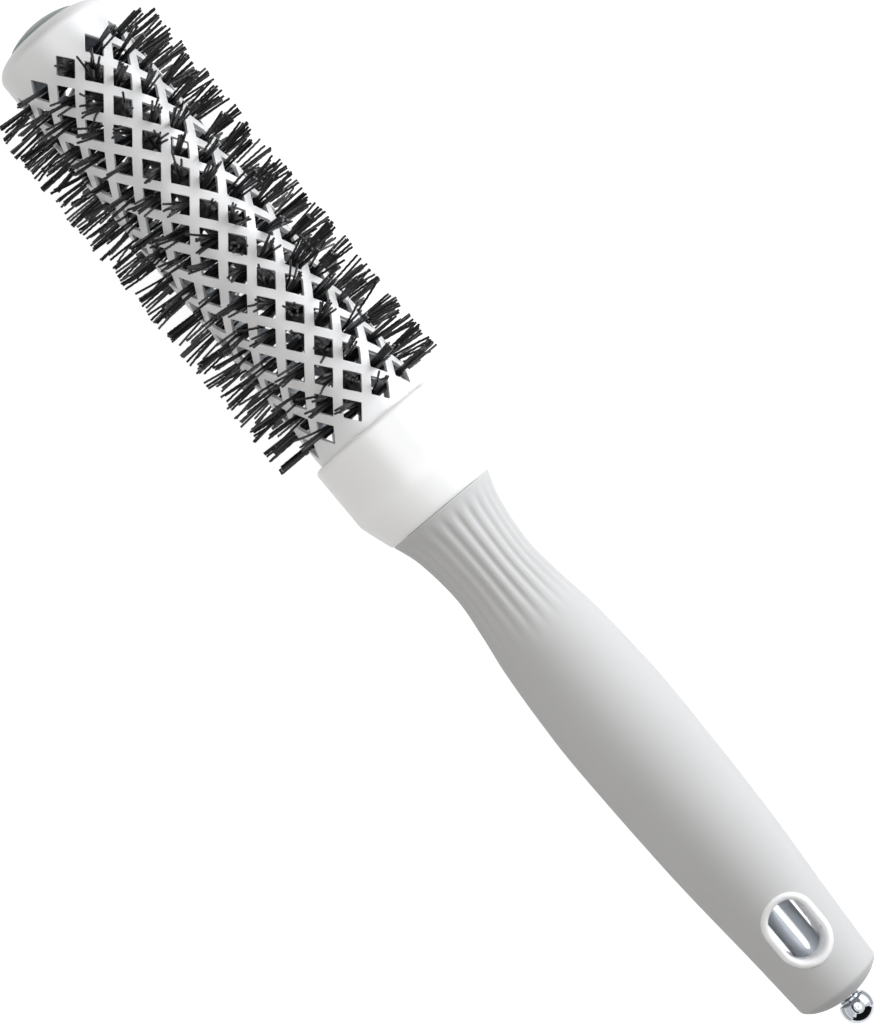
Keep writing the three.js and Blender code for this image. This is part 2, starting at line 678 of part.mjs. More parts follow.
/** The soft overmould: fluted waist, full belly, domed end, and the window and pick openings. */
function handleGrip() {
  const dome = arc(DOME_CENTRE_X, 0, DOME_REACH, DOME_RADIUS, DOME_START, DOME_END, 3);
  const fluteMiddle = (FLUTE_FULL + FLUTE_FADE) / 2;
  const distances = HANDLE_OUTLINE.map(([distance]) => distance);
  distances.push(FLUTE_START, FLUTE_FULL, fluteMiddle, FLUTE_FADE, FLUTE_END);
  distances.sort((a, b) => a - b);
  const outside = turned([
    [HANDLE_X, 0], ...handleProfile(distances, 0), ...dome.slice(1), [END_X, 0],
  ], HANDLE_SIDES);
  pressFlutes(outside);
  const inside = handleInside(GRIP_WALL, GRIP_BORE_END_X);
  const bore = turned([
    [HANDLE_X - 1, 0], [HANDLE_X - 1, inside[0][1]], ...inside, [GRIP_BORE_END_X, 0],
  ], CORE_SIDES);
  const noseHoleRadius = BUSH_NOSE_RADIUS + FIT;
  const noseHole = turned([
    [CORE_END_X, 0], [CORE_END_X, noseHoleRadius], [END_X + 1, noseHoleRadius], [END_X + 1, 0],
  ], SMALL_SIDES);
  const window = windowPrism(BEZEL_LENGTH + 2 * FIT, BEZEL_WIDTH + 2 * FIT);
  return geometryFrom(solidFrom(outside).subtract(solidFrom(bore)).subtract(solidFrom(noseHole))
    .subtract(solidFrom(window)));
}

/** The rigid core: a tenon in the collar, bores for socket, sleeve and bush, and the window. */
function handleCore() {
  const profile = handleInside(GRIP_WALL + FIT, CORE_END_X);
  const outside = turned([
    [TENON_X, 0], [TENON_X, TENON_RADIUS], [HANDLE_X, TENON_RADIUS],
    ...profile, [CORE_END_X, 0],
  ], CORE_SIDES);
  const socketBoreRadius = SOCKET_SHANK_RADIUS + FIT;
  const socketBore = turned([
    [TENON_X - 1, 0], [TENON_X - 1, socketBoreRadius],
    [SOCKET_END_X + FIT, socketBoreRadius], [SOCKET_END_X + FIT, 0],
  ], CORE_SIDES);
  const sleeveBore = turned([
    [SLEEVE_X - FIT, 0], [SLEEVE_X - FIT, CORE_BORE_RADIUS],
    [BUSH_X - FIT, CORE_BORE_RADIUS], [BUSH_X - FIT, BUSH_RADIUS + FIT],
    [CORE_END_X + 1, BUSH_RADIUS + FIT], [CORE_END_X + 1, 0],
  ], CORE_SIDES);
  const window = windowPrism(BEZEL_LENGTH + 2 * FIT, BEZEL_WIDTH + 2 * FIT);
  return geometryFrom(solidFrom(outside).subtract(solidFrom(socketBore))
    .subtract(solidFrom(sleeveBore)).subtract(solidFrom(window)));
}

/** The window's oval lining: a little proud of the handle, and open where the sleeve crosses it. */
function windowBezel() {
  const reach = BEZEL_LENGTH / 2 + 1;
  const rims = turned([
    [WINDOW_X - reach, 0], [WINDOW_X - reach, handleRadiusAt(WINDOW_X - reach, -BEZEL_PROUD)],
    [WINDOW_X + reach, handleRadiusAt(WINDOW_X + reach, -BEZEL_PROUD)], [WINDOW_X + reach, 0],
  ], HANDLE_SIDES);
  const outside = windowPrism(BEZEL_LENGTH, BEZEL_WIDTH);
  const opening = windowPrism(BEZEL_LENGTH - 2 * BEZEL_WALL, BEZEL_WIDTH - 2 * BEZEL_WALL);
  const sleeveHoles = turned([
    [WINDOW_X - reach, 0], [WINDOW_X - reach, CORE_BORE_RADIUS],
    [WINDOW_X + reach, CORE_BORE_RADIUS], [WINDOW_X + reach, 0],
  ], CORE_SIDES);
  return geometryFrom(solidFrom(rims).intersect(solidFrom(outside)).subtract(solidFrom(opening))
    .subtract(solidFrom(sleeveHoles)));
}

// ---------------------------------------------------------------- sectioning pick

/** Closed-ended metal tube that takes the pick's rod and crosses the window in full view. */
function pickSleeve() {
  const boreX = SLEEVE_X + SLEEVE_FRONT_WALL;
  return turned([
    [SLEEVE_X, 0], [SLEEVE_X, SLEEVE_RADIUS], [SLEEVE_END_X - SLEEVE_CHAMFER, SLEEVE_RADIUS],
    [SLEEVE_END_X, SLEEVE_RADIUS - SLEEVE_CHAMFER], [SLEEVE_END_X, SLEEVE_BORE_RADIUS],
    [boreX, SLEEVE_BORE_RADIUS], [boreX, 0],
  ], CORE_SIDES);
}

/** Bush that closes the core's rear bore: it guides the rod and holds the rubber ring. */
function endBush() {
  const ringX = END_X - GRIP_RING_FROM_END;
  const ringReach = GRIP_RING_RADIUS + FIT;
  const grooveRadius = SLEEVE_BORE_RADIUS + 2 * ringReach;
  const noseEndX = END_X - BUSH_NOSE_RECESS;
  const shoulderBoreRadius = ROD_SHOULDER_RADIUS + FIT;
  const shoulderX = BALL_BACK_X - ROD_SHOULDER_LENGTH - FIT;
  return turned([
    [BUSH_X, SLEEVE_BORE_RADIUS], [BUSH_X, BUSH_RADIUS], [CORE_END_X, BUSH_RADIUS],
    [CORE_END_X, BUSH_NOSE_RADIUS], [noseEndX, BUSH_NOSE_RADIUS],
    [noseEndX, shoulderBoreRadius], [shoulderX, shoulderBoreRadius],
    [shoulderX, SLEEVE_BORE_RADIUS], [ringX + ringReach, SLEEVE_BORE_RADIUS],
    [ringX + ringReach, grooveRadius], [ringX - ringReach, grooveRadius],
    [ringX - ringReach, SLEEVE_BORE_RADIUS], [BUSH_X, SLEEVE_BORE_RADIUS],
  ], SMALL_SIDES);
}

/** Rubber ring in the bush's groove. */
function gripRing() {
  const ring = new THREE.TorusGeometry(
    SLEEVE_BORE_RADIUS + GRIP_RING_RADIUS, GRIP_RING_RADIUS, 6, SMALL_SIDES,
  );
  ring.rotateY(Math.PI / 2);
  ring.translate(END_X - GRIP_RING_FROM_END, 0, 0);
  return ring;
}

/** Pointed rod with a shoulder under the ball and a tenon inside it. */
function pickRod() {
  const shoulderX = BALL_BACK_X - ROD_SHOULDER_LENGTH;
  const shoulderEndX = BALL_BACK_X - FIT;
  const tenonEndX = BALL_BACK_X + ROD_TENON_LENGTH;
  return turned([
    [ROD_START_X, 0], [ROD_START_X, ROD_POINT_RADIUS],
    [ROD_START_X + ROD_POINT_LENGTH, ROD_RADIUS], [shoulderX, ROD_RADIUS],
    [shoulderX, ROD_SHOULDER_RADIUS], [shoulderEndX, ROD_SHOULDER_RADIUS],
    [shoulderEndX, ROD_TENON_RADIUS], [tenonEndX, ROD_TENON_RADIUS], [tenonEndX, 0],
  ], SMALL_SIDES);
}

/** Ball with a short neck, a flat back and a blind hole for the rod's tenon. */
function pickBall() {
  const neckEndX = BALL_BACK_X + BALL_NECK_LENGTH;
  const backAngle = Math.PI - Math.acos((BALL_X - neckEndX) / BALL_RADIUS);
  const holeRadius = ROD_TENON_RADIUS + FIT;
  const holeFootX = BALL_BACK_X + ROD_TENON_LENGTH + FIT;
  const outline = arc(BALL_X, 0, BALL_RADIUS, BALL_RADIUS, backAngle, 0, 9);
  return turned([
    [BALL_BACK_X, holeRadius], [BALL_BACK_X, BALL_NECK_RADIUS], [neckEndX, BALL_NECK_RADIUS],
    ...outline.slice(0, -1), [BALL_X + BALL_RADIUS, 0],
    [holeFootX, 0], [holeFootX, holeRadius], [BALL_BACK_X, holeRadius],
  ], SMALL_SIDES);
}

// ---------------------------------------------------------------- assembly

const ceramicWhite = () => material(0xe4e8ea, 0.35, 0.3);
const glossWhite = () => material(0xf2f3f3, 0.12, 0);
const plugGrey = () => material(0x96a5a0, 0.45, 0);
const blackNylon = () => material(0x141414, 0.5, 0);
const steelWire = () => material(0x9a9c9e, 0.35, 1);
const socketNylon = () => material(0xd5d7d8, 0.5, 0);
const coreWhite = () => material(0xeaebeb, 0.4, 0);
const softGrey = () => material(0xc9cacc, 0.85, 0);
const chrome = () => material(0xd8dadc, 0.05, 1);
const blackRubber = () => material(0x1c1c1c, 0.8, 0);

addPiece('barrel_tube', barrelTube(), ceramicWhite());
addPiece('tip_plug', tipPlug(), plugGrey());
addPiece('core_wire_a', coreWire(0), steelWire());
addPiece('core_wire_b', coreWire(Math.PI), steelWire());
for (let pack = 0; pack < BRISTLE_PACKS; pack += 1) {
  addPiece(`bristle_pack_${pack + 1}`, bristlePack(pack), blackNylon());
}
addPiece('barrel_socket', barrelSocket(), socketNylon());
addPiece('collar', collar(), glossWhite());
addPiece('handle_core', handleCore(), coreWhite());
addPiece('handle_grip', handleGrip(), softGrey());
addPiece('window_bezel', windowBezel(), glossWhite());
addPiece('pick_sleeve', pickSleeve(), chrome());
addPiece('end_bush', endBush(), socketNylon());
addPiece('grip_ring', gripRing(), blackRubber());
addPiece('pick_rod', pickRod(), chrome());
addPiece('pick_ball', pickBall(), chrome());

export default brush;
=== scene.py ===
# Round barrel hair brush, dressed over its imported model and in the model's own frame: the tip is at
# x = 0, the pick's ball ends at x = 0.255, and the handle's window looks along Z. The brush's own sizes
# are written in millimetres, and a piece becomes metres when its mesh is made.

import math

import bmesh
import bpy
import numpy as np
from mathutils import Matrix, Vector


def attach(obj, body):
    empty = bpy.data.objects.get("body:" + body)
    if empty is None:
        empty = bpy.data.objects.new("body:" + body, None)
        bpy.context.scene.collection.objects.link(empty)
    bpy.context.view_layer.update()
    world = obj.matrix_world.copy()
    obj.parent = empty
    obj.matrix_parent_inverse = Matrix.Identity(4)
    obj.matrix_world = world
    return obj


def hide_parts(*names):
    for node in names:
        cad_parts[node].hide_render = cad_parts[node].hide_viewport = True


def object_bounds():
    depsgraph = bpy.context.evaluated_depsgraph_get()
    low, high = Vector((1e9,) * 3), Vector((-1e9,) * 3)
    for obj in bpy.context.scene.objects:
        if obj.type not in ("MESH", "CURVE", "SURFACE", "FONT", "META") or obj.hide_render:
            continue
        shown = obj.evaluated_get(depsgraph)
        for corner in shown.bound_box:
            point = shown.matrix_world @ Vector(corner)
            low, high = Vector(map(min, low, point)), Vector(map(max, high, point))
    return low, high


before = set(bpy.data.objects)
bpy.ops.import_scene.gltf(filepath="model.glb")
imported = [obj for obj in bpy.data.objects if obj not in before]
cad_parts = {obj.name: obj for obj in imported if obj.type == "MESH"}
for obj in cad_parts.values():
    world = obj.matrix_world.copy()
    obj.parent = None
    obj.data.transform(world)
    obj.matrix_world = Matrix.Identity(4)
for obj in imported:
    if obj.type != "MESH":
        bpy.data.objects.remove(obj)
cad_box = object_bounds()

# ---------------------------------------------------------------- barrel tube
# A 1 inch aluminium tube, punched all round with diamond holes in staggered rows. Its front end is
# rolled in to a rounded nose, and its rear end sits in the collar. Outside, a satin white ceramic coat
# takes the sharpness off the holes' edges, and the bore is bare metal.

TUBE_RADIUS = 12.8
TUBE_WALL = 0.8
TUBE_BORE_RADIUS = TUBE_RADIUS - TUBE_WALL
TUBE_END_X = 111.4
NOSE_LIP_X = 2.3
NOSE_END_X = 5.55
NOSE_OPENING_RADIUS = 7.9
NOSE_BEAD = 0.35
NOSE_BEAD_BLEND = 3

ROW_PAIRS = 11
HOLES_PER_ROW = 11
HOLE_PITCH = 8.62
FIRST_HOLE_X = 12.3
LAST_HOLE_X = FIRST_HOLE_X + (HOLES_PER_ROW - 1) * HOLE_PITCH
HALF_HOLE_LENGTH = 2.9
HALF_HOLE_WIDTH = 2.35
HOLE_CORNER = 0.14
COAT_ROUNDING = 0.07
BORE_EDGE = 0.08
EDGE_BAND = 0.05
FIRST_ROW_ANGLE = math.radians(7.8)
ROW_STEP = math.pi / ROW_PAIRS
POINTS_PER_SIDE = 8


def round_the_brush(x, radius, angle):
    """Points at a distance x along the brush, a radius, and an angle from +Z towards -Y."""
    x, radius, angle = np.broadcast_arrays(x, radius, angle)
    return np.stack([x, -radius * np.sin(angle), radius * np.cos(angle)], axis=-1)


def closed_rows(rows):
    """A sheet of quads over rows of points that each close on themselves."""
    rows = np.asarray(rows, float)
    count, length = rows.shape[:2]
    here = np.arange(length)
    after = np.roll(here, -1)
    quads = [
        np.stack([here + k * length, here + (k + 1) * length,
                  after + (k + 1) * length, after + k * length], axis=1)
        for k in range(count - 1)
    ]
    return rows.reshape(-1, 3), np.concatenate(quads)


def turned(profile, sides=128):
    """A form turned about the brush's axis from a profile of [x, radius] pairs."""
    profile = np.asarray(profile, float)
    angles = np.arange(sides) * 2 * math.pi / sides
    return closed_rows(round_the_brush(profile[:, :1], profile[:, 1:], angles))


def rounding(centre_x, centre_radius, along_x, along_radius, start, end, steps):
    """A part of an ellipse as [x, radius] pairs; an angle of 0 degrees points along +X."""
    angles = np.radians(np.linspace(start, end, steps + 1))
    return np.stack([centre_x + along_x * np.cos(angles),
                     centre_radius + along_radius * np.sin(angles)], axis=1).tolist()


WELD_DISTANCE = 2e-6


def put_in_scene(name, data):
    """A new object of the scene from a mesh, a lamp or a camera."""
    placed = bpy.data.objects.new(name, data)
    bpy.context.scene.collection.objects.link(placed)
    return placed


def make_piece(name, sheets, finish, body, stands_for, crease=35, weld=True):
    """One piece of the brush from sheets of points in millimetres, in its finish, on its body."""
    points, faces = [], []
    for sheet_points, sheet_faces in sheets:
        first = len(points)
        points.extend((np.asarray(sheet_points) * 0.001).tolist())
        faces.extend([[first + corner for corner in face] for face in sheet_faces])
    mesh = bpy.data.meshes.new(name)
    mesh.from_pydata(points, [], faces)
    if weld:
        form = bmesh.new()
        form.from_mesh(mesh)
        bmesh.ops.remove_doubles(form, verts=form.verts, dist=WELD_DISTANCE)
        bmesh.ops.recalc_face_normals(form, faces=form.faces)
        form.to_mesh(mesh)
        form.free()
    mesh.shade_smooth()
    mesh.set_sharp_from_angle(angle=math.radians(crease))
    mesh.materials.append(finish)
    made = put_in_scene(name, mesh)
    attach(made, body)
    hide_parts(*stands_for)
    return made


def shade(red, green, blue):
    """A colour as it is seen on screen, from 0 to 255, turned into light."""
    seen = [value / 255 for value in (red, green, blue)]
    return [v / 12.92 if v <= 0.04045 else ((v + 0.055) / 1.055) ** 2.4 for v in seen] + [1.0]


def new_finish(name, colour, deeper, mottle_mm, roughness, grain_mm, grain_depth_mm, metallic=0.0):
    """A finish whose colour drifts between two shades, with a fine grain in its surface."""
    finish = bpy.data.materials.new(name)
    finish.use_nodes = True
    nodes, links = finish.node_tree.nodes, finish.node_tree.links
    shader = nodes["Principled BSDF"]
    place = nodes.new("ShaderNodeTexCoord")
    mottle = nodes.new("ShaderNodeTexNoise")
    mottle.inputs["Scale"].default_value = 1000 / mottle_mm
    mottle.inputs["Detail"].default_value = 3
    drift = nodes.new("ShaderNodeMix")
    drift.data_type = "RGBA"
    # Sockets 6 and 7 are a Mix node's two colours.
    drift.inputs[6].default_value = deeper
    drift.inputs[7].default_value = colour
    gloss = nodes.new("ShaderNodeMapRange")
    gloss.inputs["From Min"].default_value = 0.3
    gloss.inputs["From Max"].default_value = 0.7
    gloss.inputs["To Min"].default_value = roughness * 1.15
    gloss.inputs["To Max"].default_value = roughness * 0.88
    grain = nodes.new("ShaderNodeTexNoise")
    grain.inputs["Scale"].default_value = 1000 / grain_mm
    grain.inputs["Detail"].default_value = 2
    relief = nodes.new("ShaderNodeBump")
    relief.inputs["Strength"].default_value = 1.0
    relief.inputs["Distance"].default_value = grain_depth_mm * 0.001
    links.new(place.outputs["Object"], mottle.inputs["Vector"])
    links.new(place.outputs["Object"], grain.inputs["Vector"])
    links.new(mottle.outputs["Fac"], drift.inputs[0])
    links.new(drift.outputs[2], shader.inputs["Base Color"])
    links.new(mottle.outputs["Fac"], gloss.inputs["Value"])
    links.new(gloss.outputs["Result"], shader.inputs["Roughness"])
    links.new(grain.outputs["Fac"], relief.inputs["Height"])
    links.new(relief.outputs["Normal"], shader.inputs["Normal"])
    shader.inputs["Metallic"].default_value = metallic
    return finish


def set_all_over(finish, values):
    """Values that are the same all over a finish, set on its shader's own sockets."""
    sockets = finish.node_tree.nodes["Principled BSDF"].inputs
    for socket, value in values.items():
        sockets[socket].default_value = value


ceramic_coat = new_finish("ceramic_coat", shade(223, 223, 224), shade(219, 219, 220), mottle_mm=18,
                          roughness=0.42, grain_mm=0.5, grain_depth_mm=0.004)
set_all_over(ceramic_coat, {"Coat Weight": 0.1, "Coat Roughness": 0.2, "Specular IOR Level": 1.0,
                            "IOR": 1.6})
bare_aluminium = new_finish("bare_aluminium", shade(224, 229, 236), shade(212, 218, 226), mottle_mm=4,
                            roughness=0.34, grain_mm=0.3, grain_depth_mm=0.004, metallic=0.7)


def hole_outline(spread):
    """The diamond hole's rim, moved outwards by a spread, with its small rounded corners."""
    slant = math.hypot(HALF_HOLE_LENGTH, HALF_HOLE_WIDTH)
    inner_length = HALF_HOLE_LENGTH - HOLE_CORNER * slant / HALF_HOLE_WIDTH
    inner_width = HALF_HOLE_WIDTH - HOLE_CORNER * slant / HALF_HOLE_LENGTH
    facing = math.atan2(HALF_HOLE_LENGTH, HALF_HOLE_WIDTH)
    corners = [(inner_length, 0), (0, inner_width), (-inner_length, 0), (0, -inner_width)]
    sides = [facing, math.pi - facing, math.pi + facing, 2 * math.pi - facing]
    outline = []
    for i in range(4):
        start, end = np.array(corners[i]), np.array(corners[(i + 1) % 4])
        turn, next_turn = i * math.pi / 2, (i + 1) * math.pi / 2
        turns = [turn, (turn + sides[i]) / 2] + [sides[i]] * 5 + [(sides[i] + next_turn) / 2]
        shares = [0, 0, 0, 0.25, 0.5, 0.75, 1, 1]
        for heading, share in zip(turns, shares):
            outward = np.array([math.cos(heading), math.sin(heading)])
            outline.append(start + (end - start) * share + outward * (HOLE_CORNER + spread))
    return np.array(outline)


def web_outline():
    """The middle line of the webs round a hole, where its share of the lattice ends."""
    row_gap = ROW_STEP * TUBE_RADIUS
    corners = np.array([(HOLE_PITCH / 2, 0), (0, row_gap), (-HOLE_PITCH / 2, 0), (0, -row_gap)])
    shares = np.arange(POINTS_PER_SIDE)[:, None] / POINTS_PER_SIDE
    return np.concatenate([
        corners[i] + (corners[(i + 1) % 4] - corners[i]) * shares for i in range(4)
    ])


def lattice_cell(row, hole):
    """The metal round one hole: outer skin, rounded rim, the hole's wall, inner skin."""
    skin = [(web_outline(), TUBE_RADIUS), (hole_outline(COAT_ROUNDING + EDGE_BAND), TUBE_RADIUS)]
    rim = [
        (hole_outline(COAT_ROUNDING * (1 - math.sin(turn))),
         TUBE_RADIUS - COAT_ROUNDING * (1 - math.cos(turn)))
        for turn in np.linspace(0, math.pi / 2, 5)
    ]
    bore = [
        (hole_outline(0), TUBE_BORE_RADIUS + BORE_EDGE), (hole_outline(BORE_EDGE), TUBE_BORE_RADIUS),
        (hole_outline(BORE_EDGE + EDGE_BAND), TUBE_BORE_RADIUS), (web_outline(), TUBE_BORE_RADIUS),
    ]
    middle_x = FIRST_HOLE_X + (hole + (row % 2) / 2) * HOLE_PITCH
    middle_angle = FIRST_ROW_ANGLE + row * ROW_STEP
    return closed_rows([
        round_the_brush(middle_x + outline[:, 0], radius, middle_angle + outline[:, 1] / TUBE_RADIUS)
        for outline, radius in skin + rim + bore
    ])


def tube_end(rings, zigzag_x, direction):
    """A plain end of the tube, from rings of [x, radius] to the zigzag where the lattice starts."""
    steps = np.arange(2 * ROW_PAIRS * POINTS_PER_SIDE) / POINTS_PER_SIDE
    angles = FIRST_ROW_ANGLE + steps * ROW_STEP
    to_even_row = np.abs((steps + 1) % 2 - 1)
    zigzag = zigzag_x + direction * HOLE_PITCH / 2 * (1 - to_even_row)
    last_x, last_radius = rings[-1]
    rows = [round_the_brush(x, radius, angles) for x, radius in rings]
    for share in (0.35, 0.7, 1):
        rows.append(round_the_brush(last_x + (zigzag - last_x) * share, last_radius, angles))
    return closed_rows(rows)


bead_start = 180 - math.degrees(math.asin(NOSE_BEAD / (TUBE_RADIUS - NOSE_OPENING_RADIUS)))
nose_outside = (
    [[NOSE_LIP_X + TUBE_WALL, NOSE_OPENING_RADIUS]]
    + rounding(NOSE_LIP_X + NOSE_BEAD, NOSE_OPENING_RADIUS + NOSE_BEAD, NOSE_BEAD, NOSE_BEAD,
               270, 180, 5)
    + rounding(NOSE_END_X, NOSE_OPENING_RADIUS, NOSE_END_X - NOSE_LIP_X,
               TUBE_RADIUS - NOSE_OPENING_RADIUS, bead_start - NOSE_BEAD_BLEND, 90, 18)
)
nose_inside = rounding(NOSE_END_X, NOSE_OPENING_RADIUS, NOSE_END_X - NOSE_LIP_X - TUBE_WALL,
                       TUBE_BORE_RADIUS - NOSE_OPENING_RADIUS, 180, 90, 12)
tube_sheets = [
    tube_end(nose_outside, FIRST_HOLE_X, -1),
    tube_end(nose_inside, FIRST_HOLE_X, -1),
    tube_end([[TUBE_END_X, TUBE_RADIUS]], LAST_HOLE_X, 1),
    tube_end([[TUBE_END_X, TUBE_RADIUS], [TUBE_END_X, TUBE_BORE_RADIUS]], LAST_HOLE_X, 1),
]
for row in range(2 * ROW_PAIRS):
    for hole in range(HOLES_PER_ROW - row % 2):
        tube_sheets.append(lattice_cell(row, hole))
barrel = make_piece("ceramic_barrel", tube_sheets, ceramic_coat, "brush", ["barrel_tube"])
barrel.data.materials.append(bare_aluminium)
for polygon in barrel.data.polygons:
    from_axis = 1000 * math.hypot(polygon.center.y, polygon.center.z)
    if from_axis < TUBE_BORE_RADIUS + 0.03 and 1000 * polygon.center.x > NOSE_END_X:
        polygon.material_index = 1

# ---------------------------------------------------------------- tip plug
# A grey-green moulded plug. Its shallow dome fills the nose's opening, a flange holds it behind the
# rolled lip, and its shank takes the front ends of the twisted wires.

PLUG_HEAD_RADIUS = 7.7
PLUG_FLAT_RADIUS = 2.5
PLUG_DOME_HEIGHT = 1.55
PLUG_FLANGE_X = 3.4
PLUG_FLANGE_END_X = 4.66
PLUG_FLANGE_RADIUS = 9.4
PLUG_SHANK_RADIUS = 4.2
PLUG_END_X = 10.2
PLUG_BORE_X = 5.7
PLUG_BORE_RADIUS = 1.8
PLUG_EDGE = 0.1

plug_plastic = new_finish("plug_plastic", shade(152, 162, 161), shade(145, 155, 154), mottle_mm=6,
                          roughness=0.42, grain_mm=0.35, grain_depth_mm=0.006)

plug_rise = PLUG_HEAD_RADIUS**2 - PLUG_FLAT_RADIUS**2
plug_middle = (plug_rise + PLUG_DOME_HEIGHT**2) / (2 * PLUG_DOME_HEIGHT)
plug_dome_radius = math.hypot(plug_middle, PLUG_FLAT_RADIUS)
plug_flat_angle = 180 - math.degrees(math.asin(PLUG_FLAT_RADIUS / plug_dome_radius))
plug_rim_angle = 180 - math.degrees(math.asin((PLUG_HEAD_RADIUS - PLUG_EDGE) / plug_dome_radius))
plug_profile = (
    [[0, 0], [0, PLUG_FLAT_RADIUS / 2]]
    + rounding(plug_middle, 0, plug_dome_radius, plug_dome_radius, plug_flat_angle, plug_rim_angle, 12)
    + [[PLUG_DOME_HEIGHT + 0.15, PLUG_HEAD_RADIUS], [PLUG_FLANGE_X, PLUG_HEAD_RADIUS],
       [PLUG_FLANGE_X, PLUG_FLANGE_RADIUS - 2 * PLUG_EDGE],
       [PLUG_FLANGE_X + 1.5 * PLUG_EDGE, PLUG_FLANGE_RADIUS],
       [PLUG_FLANGE_END_X - PLUG_EDGE, PLUG_FLANGE_RADIUS],
       [PLUG_FLANGE_END_X, PLUG_FLANGE_RADIUS - PLUG_EDGE], [PLUG_FLANGE_END_X, PLUG_SHANK_RADIUS],
       [PLUG_END_X - PLUG_EDGE, PLUG_SHANK_RADIUS], [PLUG_END_X, PLUG_SHANK_RADIUS - PLUG_EDGE],
       [PLUG_END_X, PLUG_BORE_RADIUS], [PLUG_BORE_X, PLUG_BORE_RADIUS], [PLUG_BORE_X, 0]]
)
make_piece("tip_plug_dome", [turned(plug_profile, 96)], plug_plastic, "brush", ["tip_plug"])

# ---------------------------------------------------------------- twisted wires
# Two drawn steel wires, twisted together down the barrel. The filaments are caught between them. Their
# ends sit in the tip plug and in the barrel's socket, and between those they bow to the +Y side.

WIRE_RADIUS = 0.6
WIRE_TWIST_RADIUS = 0.78
WIRE_TWIST_PITCH = 15.0
WIRE_START_X = 6.0
WIRE_END_X = 117.3
WIRE_BOW = 2.0
WIRE_RINGS = 180
WIRE_SIDES = 10

drawn_steel = new_finish("drawn_steel", shade(168, 170, 172), shade(140, 142, 145), mottle_mm=1.5,
                         roughness=0.34, grain_mm=0.12, grain_depth_mm=0.003, metallic=1.0)


def wire_bow(x):
    """How far the wires lie off the brush's axis: bent near their ends, and straight in between."""
    share = np.clip((x - WIRE_START_X) / (WIRE_END_X - WIRE_START_X), 0, 1)
    return WIRE_BOW * (1 - (2 * share - 1) ** 8)


def twisted_wire(start_angle):
    """One wire of the pair, as rings of points along its winding line, closed at both ends."""
    along = np.linspace(WIRE_START_X, WIRE_END_X, WIRE_RINGS)
    wind = start_angle + 2 * math.pi * (along - WIRE_START_X) / WIRE_TWIST_PITCH
    centre = round_the_brush(along, WIRE_TWIST_RADIUS, wind)
    centre[:, 1] += wire_bow(along)
    outward = round_the_brush(0, 1.0, wind)
    heading = np.gradient(centre, axis=0)
    heading /= np.linalg.norm(heading, axis=1, keepdims=True)
    sideways = np.cross(heading, outward)
    turns = np.arange(WIRE_SIDES) * 2 * math.pi / WIRE_SIDES
    rings = (centre[:, None] + WIRE_RADIUS * (outward[:, None] * np.cos(turns)[:, None]
                                              + sideways[:, None] * np.sin(turns)[:, None]))
    first_end = np.repeat(centre[:1], WIRE_SIDES, axis=0)
    last_end = np.repeat(centre[-1:], WIRE_SIDES, axis=0)
    return closed_rows(np.concatenate([[first_end], rings, [last_end]]))


make_piece("wire_a", [twisted_wire(0)], drawn_steel, "brush", ["core_wire_a"])
make_piece("wire_b", [twisted_wire(math.pi)], drawn_steel, "brush", ["core_wire_b"])

# ---------------------------------------------------------------- bristles
# Black crimped nylon filaments, half a millimetre thick, held by their middles between the wires. A
# tuft of four to nine comes out of every hole, the fuller ones on the side that the wires bow to. All
# are trimmed to the same reach, and the tips underneath end on the table.

BRISTLE_THICKNESS = 0.5
BRISTLE_REACH_Y = 20.12
BRISTLE_REACH_Z = 20.0
BRISTLE_OUTSIDE_LENGTH = 7.85
BRISTLE_LENGTH_SPREAD = 0.32
BRISTLE_CURL = 0.04
TABLE_Z = 1000 * cad_box[0].z + 0.03
CRIMP_DEPTH = 0.04
CRIMP_LENGTH = 1.3
CRIMP_LENGTH_SPREAD = 0.12
ROOT_RADIUS = 1.5
ROOT_SPREAD = 0.15
ROOT_FOLLOWS_LEAN = 0.5
ROOT_FOLLOWS_SPOT = 0.2

FEWEST_IN_TUFT = 5
MOST_IN_TUFT = 8
FULLER_TOWARDS_WIRES = 1.2
TUFT_LEAN = (0.55, 0.4)
TUFT_SPREAD = (0.38, 0.3)
TUFT_LOOSENESS = (0.8, 1.9)
TUFT_CURL = 0.07
STRAY_SHARE = 0.2
STRAY_SPREAD = (1.2, 0.95)
STRAY_CURL = 0.1
MOST_CURL = 0.14
END_TUFT_WIDTH = 0.7
END_TUFT_SHIFT = 0.2
RIM_CLEARANCE = (0.5, 0.45)

COLUMNS = 2 * HOLES_PER_ROW - 1
PACK_COLUMNS = [(0, 5), (5, 10), (10, 15), (15, COLUMNS)]
HELD_SHARE = 0.9
KNEE_SHARE = 0.12
KNEE_STRENGTH = 0.8
BRISTLE_SIDES = 5
RINGS_INSIDE = 2
RINGS_OUTSIDE = 26

HUB_RADIUS = 2.6
HUB_ROUGHNESS = 0.12
HUB_BORE_RADIUS = 1.7
HUB_START_X = 10.5
HUB_END_X = 100.3
HUB_GAP = 0.15

black_nylon = new_finish("black_nylon", shade(34, 34, 36), shade(18, 18, 19), mottle_mm=2.2,
                         roughness=0.36, grain_mm=0.25, grain_depth_mm=0.004)
nylon_nodes, nylon_links = black_nylon.node_tree.nodes, black_nylon.node_tree.links
each_bristle = nylon_nodes.new("ShaderNodeNewGeometry")
nylon_drift = next(node for node in nylon_nodes if node.type == "MIX")
nylon_links.new(each_bristle.outputs["Random Per Island"], nylon_drift.inputs[0])

rng = np.random.default_rng(25)


